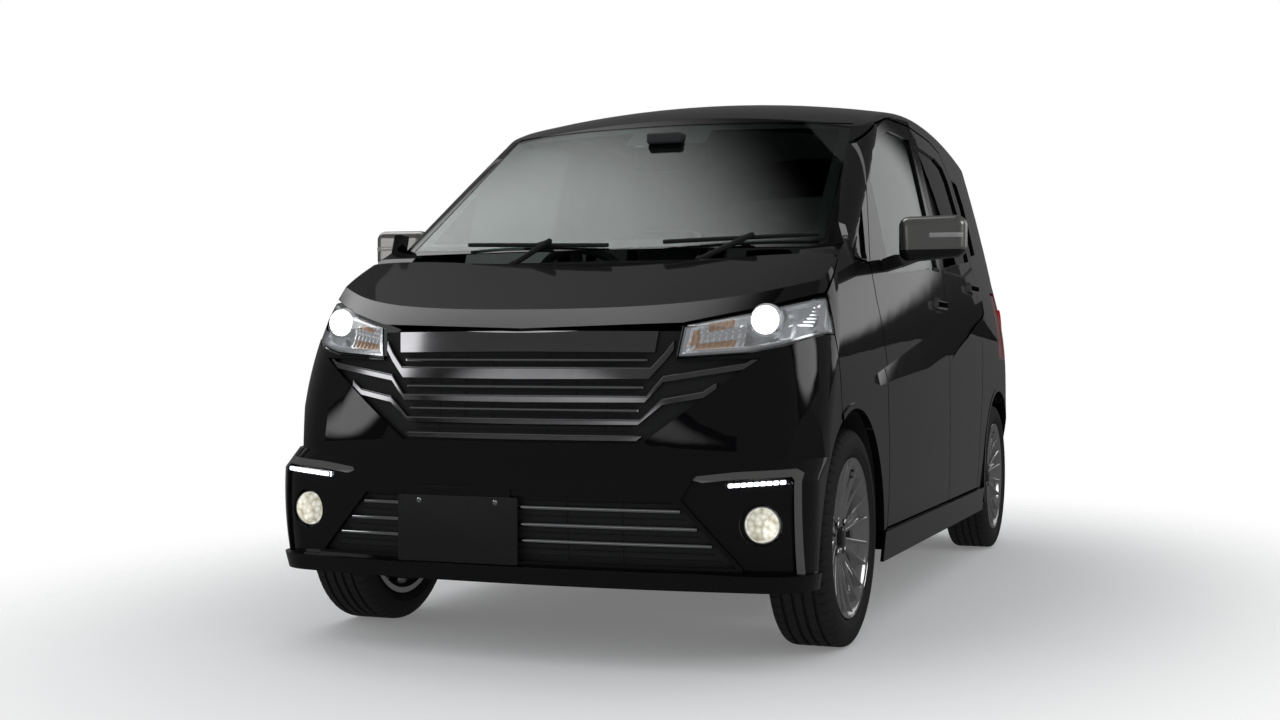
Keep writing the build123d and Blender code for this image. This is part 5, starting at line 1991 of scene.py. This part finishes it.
    def _sew(self, mesh: bpy.types.Mesh, cushion: Cushion, flat: bool) -> None:
        """Draw the sewn channels in.

        Args:
            mesh: the swollen mesh.
            cushion: where its seams are.
            flat: whether it lies down.
        """
        normals = [vertex.normal.copy() for vertex in mesh.vertices]
        for vertex, normal in zip(mesh.vertices, normals):
            facing = normal.z if flat else -normal.y
            if facing < 0.3:
                continue
            along = vertex.co.y if flat else vertex.co.z
            gaps = [abs(vertex.co.x - place) for place in cushion.seams]
            inside = not cushion.seams or abs(vertex.co.x) < max(cushion.seams) + 0.001
            gaps += [abs(along - place) for place in cushion.cross] if inside else []
            depth = sum(self.SEAM_DEPTH * math.exp(-((gap / self.SEAM_R) ** 2)) for gap in gaps)
            vertex.co -= normal * min(depth, self.SEAM_CAP)
        for polygon in mesh.polygons:
            polygon.use_smooth = True

    def _frames(self) -> None:
        """Add rails, pans, side covers, recliner discs and headrest posts."""
        for side, turn in SIDES:
            mould = Mould()
            for x in (self.SEAT_X - 0.190, self.SEAT_X + 0.190):
                mould.block((x, -0.080, 0.2700), (0.032, 0.400, 0.0630), 0.006)
                mould.block((x, -0.080, 0.3200), (0.026, 0.360, 0.0360), 0.005)
            mould.block((self.SEAT_X, -0.090, 0.3320), (0.400, 0.380, 0.0300), 0.010)
            for x in (self.SEAT_X - 0.222, self.SEAT_X + 0.222):
                mould.block((x, 0.050, 0.3700), (0.026, 0.300, 0.0900), 0.012)
                mould.turn(self.RECLINER, (x, 0.185, 0.4300), around=36, closed=False)
            for x in (self.SEAT_X - 0.055, self.SEAT_X + 0.055):
                mould.bar([Vector((x, y, z)) for y, z in self.POST], self.POST_R, self.POST_R, 1, 16)
            mesh = mould.mesh(f"seat_frame_{side}", flip_x=turn < 0, sharp=30.0)
            self.shop.add(f"seat_frame_{side}", mesh, "body", (CABIN, CHROME))
        bench = Mould()
        bench.block((0.0, 0.940, 0.4250), (0.840, 0.330, 0.0300), 0.010)
        for x in (-0.270, -0.190, 0.190, 0.270):
            path = [Vector((x, y, z)) for y, z in self.BENCH_POST]
            bench.bar(path, self.BENCH_POST_R, self.BENCH_POST_R, 1, 14)
        self.single("bench_frame", bench, (CABIN, CHROME), sharp=30.0)


@dataclass
class Cabin(Assembly):
    """Fittings on the dashboard and behind the windscreen."""

    BACK = Vector((0.0, 1.0, 0.0))
    VENTS = ((0.560, 0.905), (0.170, 0.905), (-0.105, 0.905), (-0.575, 0.905))
    SLATS = (-0.018, -0.006, 0.006, 0.018)
    DISPLAY = (0.032, 0.800)
    KNOBS = (-0.030, 0.032, 0.094)
    KNOB_Z = 0.705
    KNOB = ((-0.002, 0.019), (0.012, 0.018), (0.016, 0.013), (0.017, 0.004))
    SENSOR = (0.0, -0.575, 1.420)
    SENSOR_SIZE = (0.110, 0.070, 0.034)
    SENSOR_WINDOW = (-0.080, 1.405)

    def build(self) -> None:
        """Add vents, the display, the knobs and the sensor."""
        dash = self.skin("dashboard")
        mould = Mould()
        for x, z in self.VENTS:
            outline = [(x + a, z + b) for a, b in rounded(0.048, 0.032, 0.012)]
            raised(mould, dash.from_rear, outline, self.BACK, 0.006)
            for slat in self.SLATS:
                line = (dash.from_rear(a, z + slat) for a in steps(x - 0.040, x + 0.040, 8))
                path = met(line, self.BACK * 0.0075)
                if len(path) > 2:
                    mould.bar(path, 0.0035, 0.0016, sides=6)
        x, z = self.DISPLAY
        outline = [(x + a, z + b) for a, b in rounded(0.095, 0.058, 0.008)]
        raised(mould, dash.from_rear, outline, self.BACK, 0.008, tint=1)
        for x in self.KNOBS:
            for spot in met([dash.from_rear(x, self.KNOB_Z)], Vector()):
                mould.turn(self.KNOB, spot, 28, closed=False, tint=2, axis="Y")
        self.single("dash_fittings", mould, (CABIN, SCREEN, SMOKED_CHROME))
        self._sensor()

    def _sensor(self) -> None:
        """Add the sensor block behind the windscreen with its small bright window."""
        mould = Mould()
        mould.block(self.SENSOR, self.SENSOR_SIZE, 0.008)
        self.single("screen_sensor", mould, (CABIN,), sharp=30.0)
        window = Mould()
        skin = self.skin("windscreen")
        x, z = self.SENSOR_WINDOW
        line = (skin.from_rear(x + a, z + b, start=0.0) for a, b in rounded(0.013, 0.010, 0.003))
        window.slab(met(line, Vector((0.0, 0.0016, 0.0))), Vector((0.0, 0.0025, 0.0)))
        self.single("sensor_window", window, (MIRROR_GLASS,))


@dataclass(frozen=True)
class Softbox:
    """One rectangular studio light with a soft fall-off towards its edges.

    Attributes:
        name: the light's name.
        place: where it hangs.
        target: the point it faces.
        size: its width and height.
        strength: brightness at its middle.
        core: how far the full brightness reaches towards its edges, from 0 to 1.
    """

    name: str
    place: Point
    target: Point
    size: tuple[float, float]
    strength: float
    core: float


SOFTBOXES: tuple[Softbox, ...] = (
    Softbox("overhead", (-2.3, 0.5, 4.4), (-0.5, 0.1, 0.8), (3.0, 9.0), 1.7, 0.30),
    Softbox("left_wall", (4.6, 8.4, 2.9), (0.6, -0.4, 1.1), (6.5, 3.6), 0.62, 0.8),
    Softbox("side_fill", (5.5, -0.4, 2.8), (0.0, 0.0, 0.8), (3.6, 2.2), 2.2, 0.6),
    Softbox("front_wall", (-5.4, -5.6, 2.2), (0.0, -1.2, 0.8), (1.6, 2.8), 2.4, 0.6),
    Softbox("front_band", (-2.2, -8.5, 1.5), (0.0, -1.6, 0.7), (7.0, 1.3), 0.75, 0.6),
)
AMBIENT = 0.55
AMBIENT_TONE = (0.94, 0.97, 1.0, 1.0)
GLOSS_AMBIENT = 0.10
FLOOR_GLOSS_SHADE = 0.085
FLOOR_LENGTHWISE = 0.62
FLOOR_SOLID_R = 0.95
FLOOR_FADE_R = 2.5
FLOOR_LIFT = 0.16
FLOOR_HALF = 40.0
FLOOR_TONE = (0.93, 0.93, 0.93, 1.0)
SENSOR_WIDE = 36.0
FAR_CLIP = 200.0


@dataclass
class Studio:
    """The pale floor, the soft lights and the camera.

    Attributes:
        camera_place: the camera's position.
        yaw: turn of the view about +Z, in degrees.
        pitch: how far the view looks down, in degrees.
        roll: turn of the picture, in degrees.
        lens: focal length on a 36 mm wide sensor.
    """

    camera_place: Point = (1.7223, -5.3441, 0.7429)
    yaw: float = 20.775
    pitch: float = 0.04
    roll: float = 0.087
    lens: float = 46.29

    def build(self) -> None:
        """Add floor, world, lights and camera."""
        self._floor()
        self._world()
        for softbox in SOFTBOXES:
            self._softbox(softbox)
        self._camera()

    @staticmethod
    def _plane(name: str, half_x: float, half_y: float) -> bpy.types.Object:
        """Add a flat stage piece in the ground plane.

        Args:
            name: the object's name.
            half_x: half of its width.
            half_y: half of its depth.

        Returns:
            The object, with one new material.
        """
        mesh = bpy.data.meshes.new(name)
        grid = bmesh.new()
        bmesh.ops.create_grid(grid, x_segments=8, y_segments=8, size=1.0)
        bmesh.ops.scale(grid, vec=(half_x, half_y, 1.0), verts=grid.verts)
        grid.to_mesh(mesh)
        grid.free()
        plane = bpy.data.objects.new(name, mesh)
        bpy.context.scene.collection.objects.link(plane)
        material = bpy.data.materials.new(name)
        material.use_nodes = True
        mesh.materials.append(material)
        return plane

    def _floor(self) -> None:
        """Add the pale floor, which fades into the backdrop and shows only faintly in the paint."""
        tree = self._plane("studio_floor", FLOOR_HALF, FLOOR_HALF).data.materials[0].node_tree
        lit = tree.nodes["Principled BSDF"]
        feed(tree, lit, {
            "Base Color": FLOOR_TONE, "Roughness": 0.75, "Emission Color": WHITE,
            "Emission Strength": FLOOR_LIFT,
        })
        shade = shader_node(tree, "Emission", {"Strength": FLOOR_GLOSS_SHADE})
        path = shader_node(tree, "LightPath")
        pick = shader_node(tree, "MixShader", {
            "Fac": path.outputs["Is Glossy Ray"], 1: lit.outputs["BSDF"], 2: shade.outputs["Emission"],
        })
        fade = shader_node(tree, "MapRange", {
            "From Min": FLOOR_SOLID_R, "From Max": FLOOR_FADE_R,
            "Value": self._reach(tree, (1.0, FLOOR_LENGTHWISE, 1.0)),
        }, interpolation_type="SMOOTHSTEP")
        clear = shader_node(tree, "BsdfTransparent")
        edge = shader_node(tree, "MixShader", {
            "Fac": fade.outputs["Result"], 1: pick.outputs["Shader"], 2: clear.outputs["BSDF"],
        })
        feed(tree, tree.nodes["Material Output"], {"Surface": edge.outputs["Shader"]})

    @staticmethod
    def _reach(tree: bpy.types.NodeTree, stretch: Point) -> bpy.types.NodeSocket:
        """Measure the distance from a plane's middle.

        Args:
            tree: the node tree to add to.
            stretch: what each coordinate is multiplied by first.

        Returns:
            The socket with the distance.
        """
        place = shader_node(tree, "TexCoord").outputs["Object"]
        scaled = shader_node(tree, "VectorMath", {0: place, 1: stretch}, operation="MULTIPLY")
        reach = shader_node(tree, "VectorMath", {0: scaled.outputs["Vector"]}, operation="LENGTH")
        return reach.outputs["Value"]

    @staticmethod
    def _world() -> None:
        """Set an even surround: white to look at, dim in reflections."""
        world = bpy.data.worlds.new("studio")
        world.use_nodes = True
        tree = world.node_tree
        path = shader_node(tree, "LightPath")
        ambient = tree.nodes["Background"]
        feed(tree, ambient, {"Color": AMBIENT_TONE, "Strength": AMBIENT})
        shader = ambient.outputs["Background"]
        for ray, strength in (("Is Glossy Ray", GLOSS_AMBIENT), ("Is Camera Ray", 1.0)):
            other = shader_node(tree, "Background", {"Color": WHITE, "Strength": strength})
            mix = {"Fac": path.outputs[ray], 1: shader, 2: other.outputs["Background"]}
            shader = shader_node(tree, "MixShader", mix).outputs["Shader"]
        feed(tree, tree.nodes["World Output"], {"Surface": shader})
        bpy.context.scene.world = world
        bpy.context.scene.view_settings.view_transform = "Standard"

    def _softbox(self, softbox: Softbox) -> None:
        """Hang one softbox.

        Args:
            softbox: where it is and how strong.
        """
        half_x, half_y = softbox.size[0] / 2, softbox.size[1] / 2
        panel = self._plane(f"softbox_{softbox.name}", half_x, half_y)
        panel.location = softbox.place
        aim = Vector(softbox.target) - Vector(softbox.place)
        panel.rotation_euler = aim.to_track_quat("-Z", "Y").to_euler()
        panel.visible_camera = False
        panel.visible_shadow = False
        tree = panel.data.materials[0].node_tree
        tree.nodes.remove(tree.nodes["Principled BSDF"])
        fall = shader_node(tree, "MapRange", {
            "From Min": softbox.core, "To Min": softbox.strength, "To Max": 0.0,
            "Value": self._reach(tree, (1.0 / half_x, 1.0 / half_y, 0.0)),
        }, interpolation_type="SMOOTHERSTEP")
        glow = shader_node(tree, "Emission", {"Strength": fall.outputs["Result"]})
        feed(tree, tree.nodes["Material Output"], {"Surface": glow.outputs["Emission"]})

    def _camera(self) -> None:
        """Add the camera and make it the scene's."""
        data = bpy.data.cameras.new("camera")
        data.lens = self.lens
        data.sensor_width = SENSOR_WIDE
        data.clip_end = FAR_CLIP
        camera = bpy.data.objects.new("camera", data)
        turn = Matrix.Rotation(math.radians(self.yaw), 4, "Z")
        turn = turn @ Matrix.Rotation(math.radians(90.0 - self.pitch), 4, "X")
        turn = turn @ Matrix.Rotation(math.radians(self.roll), 4, "Z")
        camera.matrix_world = Matrix.Translation(self.camera_place) @ turn
        bpy.context.scene.collection.objects.link(camera)
        bpy.context.scene.camera = camera


ASSEMBLIES = (Suspension, Plates, Headlamps, FrontLights, Grille, Mirrors, Glazing, TailEnd, Seats, Cabin)


def main() -> None:
    """Dress the car and set up the studio."""
    logging.basicConfig(level=logging.INFO, format="%(name)s: %(message)s")
    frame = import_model()
    materials = MaterialLibrary()
    FrameDressing(frame["nodes"], materials).build()
    shop = Workshop(frame["nodes"], materials)
    for end, axle_y, track in (("front", FRONT_AXLE_Y, FRONT_TRACK), ("rear", REAR_AXLE_Y, REAR_TRACK)):
        for side, turn in SIDES:
            Wheel(shop, end, side, turn, axle_y, track).build()
    for assembly in ASSEMBLIES:
        assembly(shop).build()
        LOG.info("built %s", assembly.__name__)
    Studio().build()
    LOG.info("dressed %d nodes", len(frame["nodes"]))


if __name__ == "__main__":
    main()
